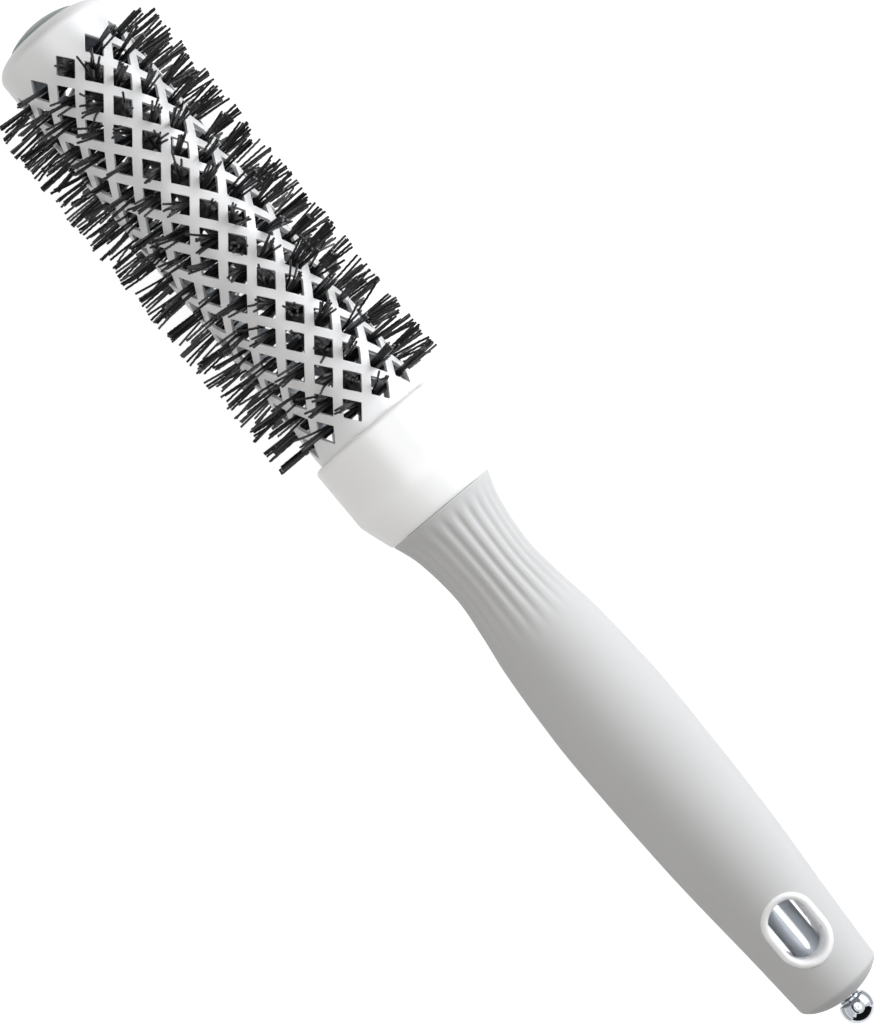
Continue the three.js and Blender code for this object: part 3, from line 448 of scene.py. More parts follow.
def tuft(row, column):
    """The filaments of one hole: their roots, where they pass it, where they head, how far."""
    middle_x = FIRST_HOLE_X + column * HOLE_PITCH / 2
    middle_angle = FIRST_ROW_ANGLE + row * ROW_STEP
    away_from_end = {0: 1, COLUMNS - 1: -1}.get(column, 0)
    fewer = round(FULLER_TOWARDS_WIRES * math.sin(middle_angle))
    count = rng.integers(FEWEST_IN_TUFT, MOST_IN_TUFT + 1) - fewer
    lean = rng.normal(0, TUFT_LEAN)
    stray = rng.random(count) < STRAY_SHARE
    looseness = rng.uniform(*TUFT_LOOSENESS)
    spread = np.where(stray[:, None], STRAY_SPREAD, np.multiply(TUFT_SPREAD, looseness))
    spot = lean + rng.normal(0, 1, (count, 2)) * spread
    if away_from_end:
        spot[:, 0] = away_from_end * (np.abs(spot[:, 0]) * END_TUFT_WIDTH - END_TUFT_SHIFT)
    room = (np.abs(spot[:, 0]) / (HALF_HOLE_LENGTH - RIM_CLEARANCE[0])
            + np.abs(spot[:, 1]) / (HALF_HOLE_WIDTH - RIM_CLEARANCE[1]))
    spot /= np.maximum(room, 1)[:, None]
    at_hole = round_the_brush(middle_x + spot[:, 0], TUBE_RADIUS - TUBE_WALL / 2,
                              middle_angle + spot[:, 1] / TUBE_RADIUS)
    root_x = (middle_x + ROOT_FOLLOWS_LEAN * lean[0] + ROOT_FOLLOWS_SPOT * spot[:, 0]
              + rng.normal(0, ROOT_SPREAD, count))
    root_angle = middle_angle + rng.normal(0, ROOT_SPREAD, count)
    root = round_the_brush(root_x, ROOT_RADIUS, root_angle)
    root[:, 1] += wire_bow(root_x)
    heading = at_hole - root
    heading /= np.linalg.norm(heading, axis=1, keepdims=True)
    own_curl = np.where(stray[:, None], STRAY_CURL, BRISTLE_CURL)
    bent = rng.normal(0, TUFT_CURL, 3) + rng.normal(0, 1, (count, 3)) * own_curl
    outside = heading + np.clip(bent, -MOST_CURL, MOST_CURL)
    if away_from_end:
        outside[:, 0] = away_from_end * np.clip(away_from_end * outside[:, 0], 0, None)
    outside /= np.linalg.norm(outside, axis=1, keepdims=True)
    length = BRISTLE_OUTSIDE_LENGTH - np.abs(rng.normal(0, BRISTLE_LENGTH_SPREAD, count))
    return root, at_hole, outside, length


def trimmed(at_hole, outside, length):
    """Lengths that end at the brush's reach, which is an ellipse round its axis, or on the table."""
    reach = np.array([BRISTLE_REACH_Y, BRISTLE_REACH_Z])
    start, step = at_hole[:, 1:] / reach, outside[:, 1:] / reach
    a = (step ** 2).sum(1)
    b = (start * step).sum(1)
    c = (start ** 2).sum(1) - 1
    to_reach = (-b + np.sqrt(b**2 - a * c)) / a
    falls = np.minimum(outside[:, 2], -1e-6)
    margin = 0.5 * BRISTLE_THICKNESS * np.hypot(outside[:, 0], outside[:, 1])
    to_table = np.where(outside[:, 2] < 0, (TABLE_Z + margin - at_hole[:, 2]) / falls, np.inf)
    return np.minimum(np.minimum(length, to_reach), to_table)


def bristle_pack(first_column, end_column):
    """Every filament between two columns of holes, each a thin crimped rod with a cut tip."""
    tufts = [
        tuft(row, column)
        for column in range(first_column, end_column)
        for row in range(column % 2, 2 * ROW_PAIRS, 2)
    ]
    root, at_hole, outside, length = [np.concatenate(part) for part in zip(*tufts)]
    length = trimmed(at_hole, outside, length)
    count = len(root)
    inside = np.linspace(0, HELD_SHARE, RINGS_INSIDE, endpoint=False)[:, None, None]
    first_part = root + (at_hole - root) * inside
    start = root + (at_hole - root) * HELD_SHARE
    tip = at_hole + outside * length[:, None]
    share = np.linspace(0, 1, RINGS_OUTSIDE + 1)[:, None, None]
    knee = (at_hole - start - (tip - start) * KNEE_SHARE) * np.sin(np.pi * share) * KNEE_STRENGTH
    line = np.concatenate([first_part, start + (tip - start) * share + knee])
    side = np.cross(outside, rng.normal(0, 1, (count, 3)))
    side /= np.linalg.norm(side, axis=1, keepdims=True)
    other = np.cross(outside, side)
    run = np.linalg.norm(tip - start, axis=1) * share[:, :, 0]
    wave = CRIMP_LENGTH * (1 + CRIMP_LENGTH_SPREAD * rng.normal(0, 1, count))
    ripple = np.sin(2 * np.pi * run / wave + rng.uniform(0, 2 * np.pi, count))
    line[RINGS_INSIDE:] += CRIMP_DEPTH * ripple[:, :, None] * side * (share > 0)
    turns = np.arange(BRISTLE_SIDES) * 2 * np.pi / BRISTLE_SIDES
    ring = 0.5 * BRISTLE_THICKNESS * (side[:, None] * np.cos(turns)[:, None]
                                      + other[:, None] * np.sin(turns)[:, None])
    rings = line.shape[0]
    points = (line.transpose(1, 0, 2)[:, :, None] + ring[:, None]).reshape(-1, 3)
    one_rod = closed_rows(np.zeros((rings, BRISTLE_SIDES, 3)))[1][:, ::-1]
    starts = np.arange(count) * rings * BRISTLE_SIDES
    rods = (one_rod[None] + starts[:, None, None]).reshape(-1, 4).tolist()
    tips = (np.arange(BRISTLE_SIDES) + (rings - 1) * BRISTLE_SIDES + starts[:, None]).tolist()
    return points, rods + tips


def packed_roots(first_column, end_column):
    """The roots of a pack, pressed round the wires into one rough hub."""
    start, end = FIRST_HOLE_X + (np.array([first_column, end_column]) - 0.5) * HOLE_PITCH / 2
    start = HUB_START_X if first_column == 0 else start + HUB_GAP
    end = HUB_END_X if end_column == COLUMNS else end - HUB_GAP
    outside = [
        [x, HUB_RADIUS + HUB_ROUGHNESS * math.sin(9 * x) * math.sin(5.3 * x + 1)]
        for x in np.linspace(start, end, 60)
    ]
    bore = [[end, HUB_BORE_RADIUS], [start, HUB_BORE_RADIUS]]
    points, faces = turned([[start, HUB_BORE_RADIUS]] + outside + bore, 20)
    points[:, 1] += wire_bow(points[:, 0])
    return points, faces


for pack, columns in enumerate(PACK_COLUMNS, start=1):
    make_piece(f"bristles_{pack}", [bristle_pack(*columns), packed_roots(*columns)], black_nylon,
               "brush", [f"bristle_pack_{pack}"], weld=False)

# ---------------------------------------------------------------- socket and collar
# The moulded socket carries the tube on a spigot and runs on into the handle. The collar is a gloss
# white moulded ring over the joint, with a rounded front rim and a taper down to the handle.

COLLAR_X = 102.9
COLLAR_STRAIGHT_END_X = 116.9
COLLAR_END_X = 123.96
COLLAR_RADIUS = 14.6
COLLAR_REAR_RADIUS = 12.4
COLLAR_RIM = 1.2
COLLAR_BORE_RADIUS = 12.92
COLLAR_SEAT_X = 114.0
COLLAR_SEAT_END_X = 116.0
COLLAR_SEAT_BORE_RADIUS = 6.3
COLLAR_REAR_BORE_RADIUS = 8.9

inner_nylon = new_finish("inner_nylon", shade(214, 216, 218), shade(205, 207, 209), mottle_mm=5,
                         roughness=0.5, grain_mm=0.4, grain_depth_mm=0.01)
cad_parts["barrel_socket"].data.materials.clear()
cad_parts["barrel_socket"].data.materials.append(inner_nylon)

gloss_white = new_finish("gloss_white", shade(248, 248, 248), shade(246, 246, 246), mottle_mm=25,
                         roughness=0.4, grain_mm=2.5, grain_depth_mm=0.002)
set_all_over(gloss_white, {
    "Coat Weight": 0.12, "Coat Roughness": 0.25, "Specular IOR Level": 0.9, "Diffuse Roughness": 0.8,
    "Subsurface Weight": 0.25, "Subsurface Radius": (1.0, 1.0, 1.0), "Subsurface Scale": 0.006,
})

collar_taper = [
    [COLLAR_STRAIGHT_END_X + (COLLAR_END_X - 0.25 - COLLAR_STRAIGHT_END_X) * share,
     COLLAR_RADIUS - (COLLAR_RADIUS - COLLAR_REAR_RADIUS) * share**1.1]
    for share in np.linspace(0, 1, 13)
]
collar_profile = (
    [[COLLAR_X, COLLAR_BORE_RADIUS], [COLLAR_X, COLLAR_BORE_RADIUS + 0.08]]
    + rounding(COLLAR_X + COLLAR_RIM, COLLAR_RADIUS - COLLAR_RIM, COLLAR_RIM, COLLAR_RIM, 180, 90, 10)
    + [[COLLAR_X + 6, COLLAR_RADIUS], [COLLAR_STRAIGHT_END_X - 1, COLLAR_RADIUS]]
    + collar_taper
    + [[COLLAR_END_X, COLLAR_REAR_RADIUS - 0.28], [COLLAR_END_X, COLLAR_REAR_BORE_RADIUS],
       [COLLAR_SEAT_END_X, COLLAR_REAR_BORE_RADIUS], [COLLAR_SEAT_END_X, COLLAR_SEAT_BORE_RADIUS],
       [COLLAR_SEAT_X, COLLAR_SEAT_BORE_RADIUS], [COLLAR_SEAT_X, COLLAR_BORE_RADIUS + 0.18],
       [TUBE_END_X + 0.4, COLLAR_BORE_RADIUS], [COLLAR_X, COLLAR_BORE_RADIUS]]
)
make_piece("gloss_collar", [turned(collar_profile, 144)], gloss_white, "brush", ["collar"],
           crease=40)

# ---------------------------------------------------------------- handle
# A rigid white core, and over it a pale grey soft-touch moulding, matt and a little waisted, with 24
# shallow flutes in the waist that run out towards the belly, and a domed end.

HANDLE_X = 124.0
HANDLE_OUTLINE = [
    (0, 12.1), (2.7, 11.1), (5.7, 10.25), (11.6, 9.42), (17.5, 9.2), (25.3, 10.05),
    (33.2, 11.15), (45, 12.03), (57.5, 12.37), (84.4, 11.7), (108, 10.15), (121.6, 9.38),
]
DOME_X = HANDLE_X + HANDLE_OUTLINE[-1][0]
END_X = DOME_X + 3.0
END_FACE_RADIUS = 3.6
DOME_RADIUS = 10.0
dome_start = math.sqrt(1 - (HANDLE_OUTLINE[-1][1] / DOME_RADIUS) ** 2)
dome_end = math.sqrt(1 - (END_FACE_RADIUS / DOME_RADIUS) ** 2)
DOME_REACH = (END_X - DOME_X) / (dome_end - dome_start)
DOME_CENTRE_X = DOME_X - DOME_REACH * dome_start
DOME_EDGE = 0.2
BEFORE_DOME_SLOPE = 0.6
FRONT_EDGE = np.array([(0, 0.3), (0.08, 0.09), (0.25, 0)])
GRIP_WALL = 1.5
GRIP_BORE_RADIUS = 3.2
GRIP_MOUTH_RADIUS = 3.5
FLUTES = 24
FLUTE_DEPTH = 0.42
FLUTE_TURN = math.radians(3.3)
FLUTES_DEEPEN = (0.8, 4.5)
FLUTES_RUN_OUT = (20, 33)
BELLY_X = 160.0
WINDOW_START_X = 222.0

WINDOW_X = 231.1
WINDOW_HALF_STRAIGHT = 2.15
WINDOW_HALF_WIDTH = 5.85
WINDOW_OVERLAP = 0.9

core_white = new_finish("core_white", shade(234, 235, 236), shade(226, 227, 228), mottle_mm=6,
                        roughness=0.4, grain_mm=0.5, grain_depth_mm=0.006)
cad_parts["handle_core"].data.materials.clear()
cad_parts["handle_core"].data.materials.append(core_white)

soft_touch = new_finish("soft_touch", shade(197, 197, 197), shade(193, 193, 193), mottle_mm=30,
                        roughness=0.72, grain_mm=0.22, grain_depth_mm=0.012)
set_all_over(soft_touch, {"Sheen Weight": 0.12, "Sheen Roughness": 0.5, "Specular IOR Level": 0.35})


def handle_curve():
    """The handle's outline as a smooth line through its measured points."""
    knots = np.array(HANDLE_OUTLINE, float)
    line = []
    for i in range(len(knots) - 1):
        before, start, end = knots[max(i - 1, 0)], knots[i], knots[i + 1]
        after = knots[min(i + 2, len(knots) - 1)]
        leave, arrive = (end - before) / 2, (after - start) / 2
        for t in np.linspace(0, 1, 16, endpoint=False):
            line.append((2 * start - 2 * end + leave + arrive) * t**3
                        + (-3 * start + 3 * end - 2 * leave - arrive) * t**2 + leave * t + start)
    return np.array(line + [knots[-1]])


handle_line = handle_curve()


def handle_radius(x):
    """The handle's outside radius at a place along the brush, its dome's edge a little rounded."""
    x = np.asarray(x, float)
    body = np.interp(x - HANDLE_X, handle_line[:, 0], handle_line[:, 1])
    fall = np.clip(x - DOME_CENTRE_X, 0, END_X - DOME_CENTRE_X) / DOME_REACH
    dome = DOME_RADIUS * np.sqrt(1 - fall**2) + BEFORE_DOME_SLOPE * np.clip(DOME_CENTRE_X - x, 0, None)
    return 0.5 * (body + dome - np.sqrt((body - dome) ** 2 + DOME_EDGE**2))


def smooth_step(value, stretch):
    """A smooth rise from 0 at a stretch's start to 1 at its end."""
    start, end = stretch
    share = np.clip((value - start) / (end - start), 0, 1)
    return share * share * (3 - 2 * share)


def flute_cut(x, angle):
    """How deep the flutes cut in: rounded ribs with narrower grooves between them."""
    along = x - HANDLE_X
    depth = FLUTE_DEPTH * smooth_step(along, FLUTES_DEEPEN) * (1 - smooth_step(along, FLUTES_RUN_OUT))
    groove = (0.5 - 0.5 * np.cos(FLUTES * (angle - FLUTE_TURN))) ** 1.5
    return depth * groove


def from_window_rim(x, y):
    """How far a point lies outside the window frame's outer rim, seen from above."""
    past_straight = np.maximum(np.abs(x - WINDOW_X) - WINDOW_HALF_STRAIGHT, 0)
    return np.hypot(past_straight, y) - WINDOW_HALF_WIDTH


def soft_grip():
    """The soft moulding as two skins, joined at the handle's front, its end and the window."""
    sides = FLUTES * 12
    angles = np.arange(sides) * 2 * math.pi / sides
    front_edge = HANDLE_X + FRONT_EDGE[:, 0]
    fluted = np.arange(HANDLE_X + 0.7, BELLY_X, 0.8)
    belly = np.arange(BELLY_X, WINDOW_START_X, 2.2)
    round_window = np.arange(WINDOW_START_X + 1, DOME_X - 1.2, 0.5)
    dome = np.linspace(DOME_X - 1.1, END_X - 0.25, 28)
    end_edge = [END_X - 0.12, END_X - 0.02]
    xs = np.concatenate([front_edge, fluted, belly, round_window, dome, end_edge])
    profile = handle_radius(xs)
    profile[:len(FRONT_EDGE)] -= FRONT_EDGE[:, 1]
    outer = round_the_brush(xs[:, None], profile[:, None] - flute_cut(xs[:, None], angles), angles)
    mouth = [GRIP_MOUTH_RADIUS, GRIP_BORE_RADIUS]
    outer = np.concatenate([outer, [round_the_brush(END_X, radius, angles) for radius in mouth]])
    inner_radius = np.maximum(np.append(profile, mouth) - GRIP_WALL, GRIP_BORE_RADIUS)
    inner_x = np.minimum(np.append(xs, [END_X, END_X]), END_X - 2.0)
    inner = round_the_brush(inner_x[:, None], inner_radius[:, None], angles)
    rows, after = len(outer), np.roll(np.arange(sides), -1)
    middle = (outer[:-1] + outer[1:] + outer[:-1, after] + outer[1:, after]) / 4
    kept = from_window_rim(middle[..., 0], middle[..., 1]) > -WINDOW_OVERLAP
    number = np.arange(rows * sides).reshape(rows, sides)
    edge_towards = {(-1, 0): (0, 3), (1, 0): (1, 2), (0, -1): (0, 1), (0, 1): (3, 2)}
    faces = []
    for k, i in zip(*np.nonzero(kept)):
        j = after[i]
        outside = [number[k, i], number[k + 1, i], number[k + 1, j], number[k, j]]
        faces.append(outside)
        faces.append([corner + rows * sides for corner in reversed(outside)])
        for (dk, di), (a, b) in edge_towards.items():
            beside = (k + dk, (i + di) % sides)
            if not 0 <= beside[0] < rows - 1 or not kept[beside]:
                faces.append([outside[a], outside[b], outside[b] + rows * sides,
                              outside[a] + rows * sides])
    return np.concatenate([outer.reshape(-1, 3), inner.reshape(-1, 3)]), faces


make_piece("soft_grip", [soft_grip()], soft_touch, "brush", ["handle_grip"], crease=50)

# ---------------------------------------------------------------- window frame
# A satin white oval lining, moulded apart and pressed right through the handle. Its rounded lips stand
# a little proud and follow the handle's curve on both sides.

FRAME_WALL = 1.6
FRAME_LIP = [(0, -0.4), (0, -0.05), (0.04, 0.1), (0.15, 0.22), (0.34, 0.31), (0.58, 0.35),
             (0.84, 0.32), (1.08, 0.2), (1.3, -0.02), (1.47, -0.35), (1.57, -0.75), (FRAME_WALL, -1.3)]
FRAME_WALL_HEIGHTS = (7, 3.5, 0, -3.5, -7)

satin_white = new_finish("satin_white", shade(250, 250, 251), shade(247, 247, 248), mottle_mm=25,
                         roughness=0.5, grain_mm=1.5, grain_depth_mm=0.003)
set_all_over(satin_white, {
    "Specular IOR Level": 0.25, "Subsurface Weight": 0.4, "Subsurface Radius": (1.0, 1.0, 1.0),
    "Subsurface Scale": 0.004,
})


def window_frame():
    """The lining's section, from its outside over both lips and back, swept round the oval."""
    half = np.radians(np.linspace(-90, 90, 41))
    turn = np.stack([np.cos(half), np.sin(half)], axis=1)
    right = WINDOW_HALF_WIDTH * turn + [WINDOW_HALF_STRAIGHT, 0]
    straight = np.linspace(WINDOW_HALF_STRAIGHT, -WINDOW_HALF_STRAIGHT, 13)[1:-1]
    top = np.stack([straight, np.full_like(straight, WINDOW_HALF_WIDTH)], axis=1)
    down = np.tile([0.0, -1.0], (len(top), 1))
    rim = np.concatenate([right, top, -right, -top])
    inward = np.concatenate([-turn, down, turn, -down])

    def wall_row(inset, z):
        """A level row round the lining, at an inset from its outside."""
        place = rim + inward * inset
        return np.column_stack([place[:, 0] + WINDOW_X, place[:, 1], np.full(len(place), z)])

    def lip_row(inset, proud, side):
        """A row of the lip, so far proud of the handle's skin on its upper or lower side."""
        place = rim + inward * inset
        reach = handle_radius(place[:, 0] + WINDOW_X) + proud
        return np.column_stack([place[:, 0] + WINDOW_X, place[:, 1],
                                side * np.sqrt(reach**2 - place[:, 1] ** 2)])

    rows = [wall_row(0, 0)]
    rows += [lip_row(inset, proud, 1) for inset, proud in FRAME_LIP]
    rows += [wall_row(FRAME_WALL, z) for z in FRAME_WALL_HEIGHTS]
    rows += [lip_row(inset, proud, -1) for inset, proud in reversed(FRAME_LIP)]
    return closed_rows(rows + [wall_row(0, 0)])


make_piece("window_frame", [window_frame()], satin_white, "brush", ["window_bezel"],
           crease=60)

# ---------------------------------------------------------------- sleeve, bush and ring
# The chromed sleeve lies in the handle's rear bore and crosses the window in full view. The bush
# closes the bore, and its rubber ring grips the pick's rod.

PICK_BORE_RADIUS = 1.55
SLEEVE_X = 176.8
SLEEVE_BORE_X = 179.5
SLEEVE_END_X = 240.6
SLEEVE_RADIUS = 3.2

chrome = new_finish("chrome", shade(202, 207, 213), shade(196, 202, 209), mottle_mm=8,
                    roughness=0.045, grain_mm=1.2, grain_depth_mm=0.0006, metallic=1.0)
sleeve_profile = [
    [SLEEVE_X, 0], [SLEEVE_X, SLEEVE_RADIUS - 0.3], [SLEEVE_X + 0.3, SLEEVE_RADIUS],
    [SLEEVE_END_X - 0.4, SLEEVE_RADIUS], [SLEEVE_END_X, SLEEVE_RADIUS - 0.4],
    [SLEEVE_END_X, PICK_BORE_RADIUS], [SLEEVE_BORE_X, PICK_BORE_RADIUS], [SLEEVE_BORE_X, 0],
]
make_piece("chrome_sleeve", [turned(sleeve_profile, 96)], chrome, "brush", ["pick_sleeve"],
           crease=30)

BUSH_X = 240.9
BUSH_HEAD_END_X = 244.4
BUSH_END_X = 248.4
BUSH_HEAD_RADIUS = 3.9
BUSH_NECK_RADIUS = 2.9
BUSH_MOUTH_X = 247.4
BUSH_MOUTH_RADIUS = 2.0
BUSH_EDGE = 0.1
GROOVE_X = 241.6
GROOVE_END_X = 243.2
GROOVE_RADIUS = 3.15

bush_profile = [
    [BUSH_X, PICK_BORE_RADIUS], [BUSH_X, BUSH_HEAD_RADIUS - BUSH_EDGE],
    [BUSH_X + BUSH_EDGE, BUSH_HEAD_RADIUS], [BUSH_HEAD_END_X - BUSH_EDGE, BUSH_HEAD_RADIUS],
    [BUSH_HEAD_END_X, BUSH_HEAD_RADIUS - BUSH_EDGE], [BUSH_HEAD_END_X, BUSH_NECK_RADIUS],
    [BUSH_END_X - BUSH_EDGE, BUSH_NECK_RADIUS], [BUSH_END_X, BUSH_NECK_RADIUS - BUSH_EDGE],
    [BUSH_END_X, BUSH_MOUTH_RADIUS], [BUSH_MOUTH_X, BUSH_MOUTH_RADIUS],
    [BUSH_MOUTH_X, PICK_BORE_RADIUS], [GROOVE_END_X, PICK_BORE_RADIUS], [GROOVE_END_X, GROOVE_RADIUS],
    [GROOVE_X, GROOVE_RADIUS], [GROOVE_X, PICK_BORE_RADIUS], [BUSH_X, PICK_BORE_RADIUS],
]
make_piece("end_bush_moulding", [turned(bush_profile, 64)], inner_nylon, "brush", ["end_bush"])

RING_RADIUS = 2.05
RING_HALF_THICKNESS = 0.5

black_rubber = new_finish("black_rubber", shade(30, 30, 30), shade(24, 24, 24), mottle_mm=1,
                          roughness=0.7, grain_mm=0.2, grain_depth_mm=0.01)
ring_section = rounding((GROOVE_X + GROOVE_END_X) / 2, RING_RADIUS, RING_HALF_THICKNESS,
                        RING_HALF_THICKNESS, 0, 360, 12)
make_piece("rubber_ring", [turned(ring_section, 48)], black_rubber, "brush", ["grip_ring"],
           crease=60)

# ---------------------------------------------------------------- sectioning pick
# A chromed steel rod that slides out of the handle's end. It runs to a blunt point, and a turned
# shoulder and a ball with a short neck at its other end are what the fingers pull.

ROD_RADIUS = 1.25
ROD_POINT_X = 179.8
ROD_POINT_ROUNDING = 0.35
ROD_POINT_FLAT = 0.05
ROD_TAPER_END_X = 185.8
SHOULDER_X = 247.7
SHOULDER_END_X = 249.0
SHOULDER_RADIUS = 1.7
SHOULDER_EDGE = 0.08
SPIGOT_END_X = 251.5
SPIGOT_RADIUS = 1.0

rod_profile = (
    [[ROD_POINT_X, 0]]
    + rounding(ROD_POINT_X + ROD_POINT_ROUNDING, ROD_POINT_FLAT, ROD_POINT_ROUNDING,
               ROD_POINT_ROUNDING, 180, 100, 5)
    + [[ROD_TAPER_END_X, ROD_RADIUS], [SHOULDER_X - 0.07, ROD_RADIUS],
       [SHOULDER_X, ROD_RADIUS + 0.05], [SHOULDER_X, SHOULDER_RADIUS - SHOULDER_EDGE],
       [SHOULDER_X + SHOULDER_EDGE, SHOULDER_RADIUS],
       [SHOULDER_END_X - SHOULDER_EDGE, SHOULDER_RADIUS],
       [SHOULDER_END_X, SHOULDER_RADIUS - SHOULDER_EDGE], [SHOULDER_END_X, SPIGOT_RADIUS],
       [SPIGOT_END_X, SPIGOT_RADIUS], [SPIGOT_END_X, 0]]
)
make_piece("pick_rod_polished", [turned(rod_profile, 64)], chrome, "pick", ["pick_rod"],
           crease=30)

BALL_X = 251.65
BALL_RADIUS = 3.45
BALL_BACK_X = 249.3
BALL_NECK_LENGTH = 0.45
BALL_NECK_RADIUS = 2.2
BALL_NECK_EDGE = 0.1
BALL_BORE_RADIUS = 1.3
BALL_BORE_END_X = 251.8
neck_x = BALL_BACK_X + BALL_NECK_LENGTH
neck_angle = 180 - math.degrees(math.acos((BALL_X - neck_x) / BALL_RADIUS))
ball_profile = (
    [[BALL_BACK_X, BALL_BORE_RADIUS], [BALL_BACK_X, BALL_NECK_RADIUS - BALL_NECK_EDGE],
     [BALL_BACK_X + 0.08, BALL_NECK_RADIUS], [neck_x - 0.15, BALL_NECK_RADIUS],
     [neck_x - 0.07, BALL_NECK_RADIUS - BALL_NECK_EDGE], [neck_x, BALL_NECK_RADIUS - BALL_NECK_EDGE],
     [neck_x, BALL_NECK_RADIUS + 0.4]]
    + rounding(BALL_X, 0, BALL_RADIUS, BALL_RADIUS, neck_angle - 2, 0, 40)
    + [[BALL_BORE_END_X, 0], [BALL_BORE_END_X, BALL_BORE_RADIUS], [BALL_BACK_X, BALL_BORE_RADIUS]]
)
make_piece("pick_ball_polished", [turned(ball_profile, 96)], chrome, "pick", ["pick_ball"],
           crease=40)

# ---------------------------------------------------------------- table, light and camera
# A white table under the brush, one soft lamp over its +Y side, and even light all round. Cards in the
# room show only in gloss and polished metal, and flags also keep some light off the brush's two ends.
# From here on sizes are in metres.

HALF_TABLE = 3.0
BALL_CENTRE = 0.2517
ABOVE_TABLE = 0.017
CARD_COLUMNS = 25
CARD_ROWS = 13
LAMP_CENTRE = (0.168, 0, 0)
LAMP_DISTANCE = 0.42
LAMP_TILT = -65
CAMERA_AIM = (0.12406, -0.00104, 0)
CAMERA_DISTANCE = 0.62
CAMERA_TILT = 3.3
CAMERA_TURN = 50.11


def seen_directly(nodes, links):
    """A value of 1 for what the camera sees, also in gloss or through a piece, and 0 for light."""
    ray = nodes.new("ShaderNodeLightPath")
    seen = ray.outputs["Is Camera Ray"]
    for kind in ("Is Glossy Ray", "Is Transmission Ray"):
        either = nodes.new("ShaderNodeMath")
        either.operation = "MAXIMUM"
        links.new(seen, either.inputs[0])
        links.new(ray.outputs[kind], either.inputs[1])
        seen = either.outputs[0]
    return seen


table_z = cad_box[0].z - 0.00002
table_mesh = bpy.data.meshes.new("table")
table_mesh.from_pydata([(-HALF_TABLE, -HALF_TABLE, table_z), (HALF_TABLE, -HALF_TABLE, table_z),
                        (HALF_TABLE, HALF_TABLE, table_z), (-HALF_TABLE, HALF_TABLE, table_z)],
                       [], [(0, 1, 2, 3)])
table = put_in_scene("table", table_mesh)

# The paint is what lights the brush from below. What the camera sees is lifted to white, and keeps
# the brush's shadow.
table_top = bpy.data.materials.new("table_top")
table_top.use_nodes = True
nodes, links = table_top.node_tree.nodes, table_top.node_tree.links
nodes.clear()
paint = nodes.new("ShaderNodeBsdfDiffuse")
paint.inputs["Color"].default_value = (0.75, 0.75, 0.75, 1)
pale = nodes.new("ShaderNodeBsdfDiffuse")
pale.inputs["Color"].default_value = (0.38, 0.38, 0.38, 1)
lift = nodes.new("ShaderNodeEmission")
lift.inputs["Color"].default_value = (1, 1, 1, 1)
lift.inputs["Strength"].default_value = 0.85
white = nodes.new("ShaderNodeAddShader")
choose = nodes.new("ShaderNodeMixShader")
out = nodes.new("ShaderNodeOutputMaterial")
links.new(seen_directly(nodes, links), choose.inputs["Fac"])
links.new(pale.outputs[0], white.inputs[0])
links.new(lift.outputs[0], white.inputs[1])
links.new(paint.outputs[0], choose.inputs[1])
links.new(white.outputs[0], choose.inputs[2])
links.new(choose.outputs[0], out.inputs["Surface"])
table_mesh.materials.append(table_top)

world = bpy.data.worlds.new("studio")
bpy.context.scene.world = world
world.use_nodes = True
nodes, links = world.node_tree.nodes, world.node_tree.links
nodes.clear()
even = nodes.new("ShaderNodeBackground")
even.inputs["Color"].default_value = (1.0, 0.99, 0.97, 1)
even.inputs["Strength"].default_value = 0.8
backdrop = nodes.new("ShaderNodeBackground")
backdrop.inputs["Color"].default_value = (1, 1, 1, 1)
backdrop.inputs["Strength"].default_value = 1.0
choose = nodes.new("ShaderNodeMixShader")
out = nodes.new("ShaderNodeOutputWorld")
links.new(seen_directly(nodes, links), choose.inputs["Fac"])
links.new(even.outputs[0], choose.inputs[1])
links.new(backdrop.outputs[0], choose.inputs[2])
links.new(choose.outputs[0], out.inputs["Surface"])

lamp_data = bpy.data.lights.new("softbox", "AREA")
lamp_data.shape = "RECTANGLE"
lamp_data.size = 0.42
lamp_data.size_y = 0.24
lamp_data.energy = 1.6
lamp_data.color = (0.935, 0.96, 1.0)
lamp = put_in_scene("softbox", lamp_data)
lamp.matrix_world = (
    Matrix.Translation(LAMP_CENTRE) @ Matrix.Rotation(math.radians(LAMP_TILT), 4, "X")
    @ Matrix.Translation((0, 0, LAMP_DISTANCE))
)


def hang_card(name, centre_x, reach, azimuths, angles, level, flag=False):
    """A card on a sphere round a point of the brush's axis, between two azimuths from +X and two
    angles from straight up, stopped short of the table. A flag also holds back light."""
    surface = bpy.data.materials.new(name)
    surface.use_nodes = True
    card_nodes, card_links = surface.node_tree.nodes, surface.node_tree.links
    card_nodes.clear()
    glow = card_nodes.new("ShaderNodeEmission")
    glow.inputs["Color"].default_value = (level, level, level, 1)
    end = card_nodes.new("ShaderNodeOutputMaterial")
    card_links.new(glow.outputs[0], end.inputs["Surface"])
    around = np.radians(np.linspace(azimuths[0], azimuths[1], CARD_COLUMNS))
    rows = []
    for angle in np.radians(np.linspace(angles[0], angles[1], CARD_ROWS)):
        far = min(reach, ABOVE_TABLE / max(-math.cos(angle), 1e-6))
        rows.append(np.stack([centre_x + far * math.sin(angle) * np.cos(around),
                              far * math.sin(angle) * np.sin(around),
                              np.full(CARD_COLUMNS, far * math.cos(angle))], axis=1))
    faces = [
        (corner, corner + 1, corner + CARD_COLUMNS + 1, corner + CARD_COLUMNS)
        for row in range(CARD_ROWS - 1)
        for corner in range(row * CARD_COLUMNS, (row + 1) * CARD_COLUMNS - 1)
    ]
    mesh = bpy.data.meshes.new(name)
    mesh.from_pydata(np.concatenate(rows).tolist(), [], faces)
    mesh.materials.append(surface)
    card = put_in_scene(name, mesh)
    card.visible_camera = False
    card.visible_diffuse = flag
    card.visible_shadow = flag
    card.visible_transmission = False
    return card


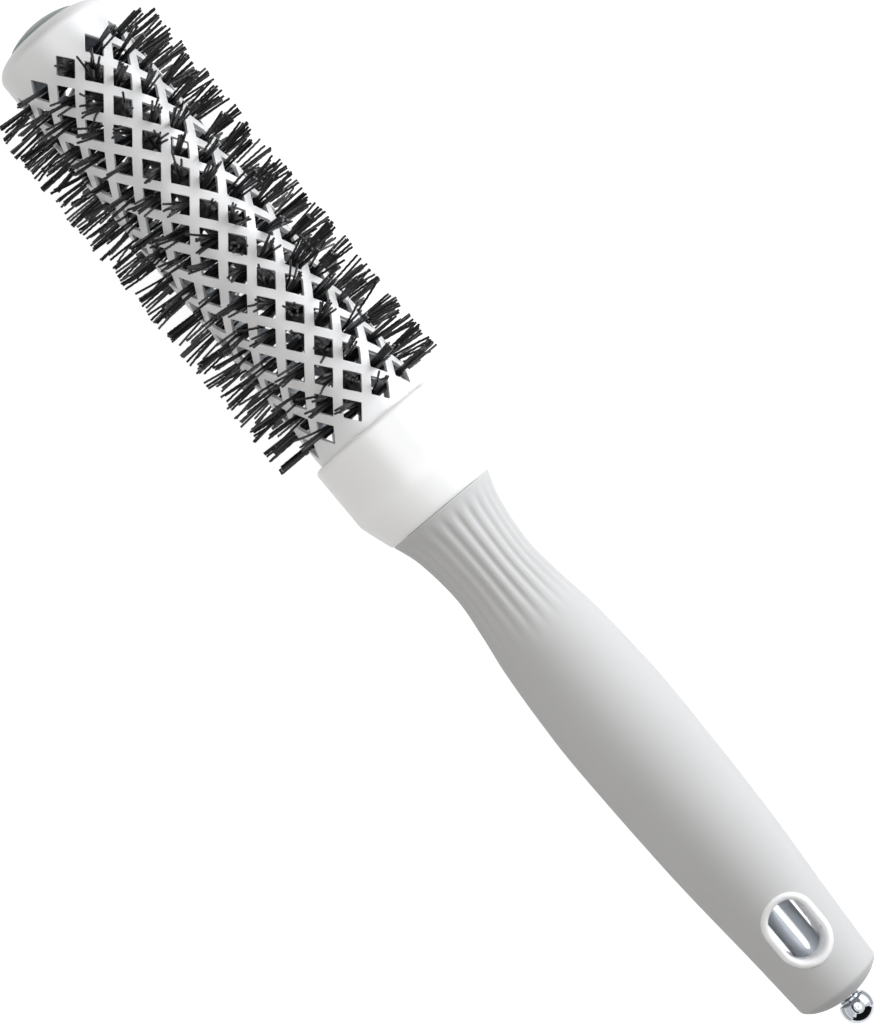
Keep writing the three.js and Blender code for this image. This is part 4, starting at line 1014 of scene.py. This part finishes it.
# Bright cards overhead, and one beside the barrel on its shaded side, give the coats their soft shine.
hang_card("card_overhead", BALL_CENTRE, 0.6, (0, 180), (0.5, 25), 1.9)
hang_card("card_overhead_low", BALL_CENTRE, 0.6, (180, 360), (0.5, 17), 1.9)
hang_card("card_barrel", -0.08, 0.62, (0, 360), (0.5, 20), 3.2)
hang_card("card_barrel_side", 0.06, 0.5, (-150, -30), (44, 80), 1.15)

# The polished ball and sleeve mirror these: a lens, the lamp's side, a dark line and grey walls.
hang_card("card_lens", BALL_CENTRE, 0.5, (0, 360), (0.3, 4.5), 0.4)
hang_card("card_lamp_side", BALL_CENTRE, 0.55, (70, 135), (56, 88), 1.9)
hang_card("card_dark_line", BALL_CENTRE, 0.1, (-150, -30), (30, 40), 0.03)
hang_card("card_side_grey", BALL_CENTRE, 0.09, (-155, -64), (46, 88), 0.8)
hang_card("card_low_grey", BALL_CENTRE, 0.08, (52, 303), (96, 125), 0.6)
hang_card("card_left_grey", BALL_CENTRE, 0.57, (120, 250), (30, 58), 0.3)
hang_card("card_end_low", BALL_CENTRE, 0.5, (-55, 46), (86, 105), 0.02)

# Dark flags beyond the handle's end and beyond the tip. The wide one doesn't show in the gloss.
hang_card("flag_end", BALL_CENTRE, 0.5, (-62, 52), (45, 86), 0.01, flag=True)
flag_end_wide = hang_card("flag_end_wide", BALL_CENTRE, 0.52, (-62, 52), (36, 86), 0.01, flag=True)
flag_end_wide.visible_glossy = False
hang_card("flag_tip", 0.0, 0.5, (128, 238), (56, 87), 0.01, flag=True)

camera_data = bpy.data.cameras.new("camera")
camera_data.lens = 110.73
camera_data.sensor_width = 36
camera = put_in_scene("camera", camera_data)
camera.matrix_world = (
    Matrix.Translation(CAMERA_AIM) @ Matrix.Rotation(math.radians(CAMERA_TILT), 4, "X")
    @ Matrix.Rotation(math.radians(CAMERA_TURN), 4, "Z") @ Matrix.Translation((0, 0, CAMERA_DISTANCE))
)
bpy.context.scene.camera = camera
bpy.context.scene.view_settings.view_transform = "Standard"
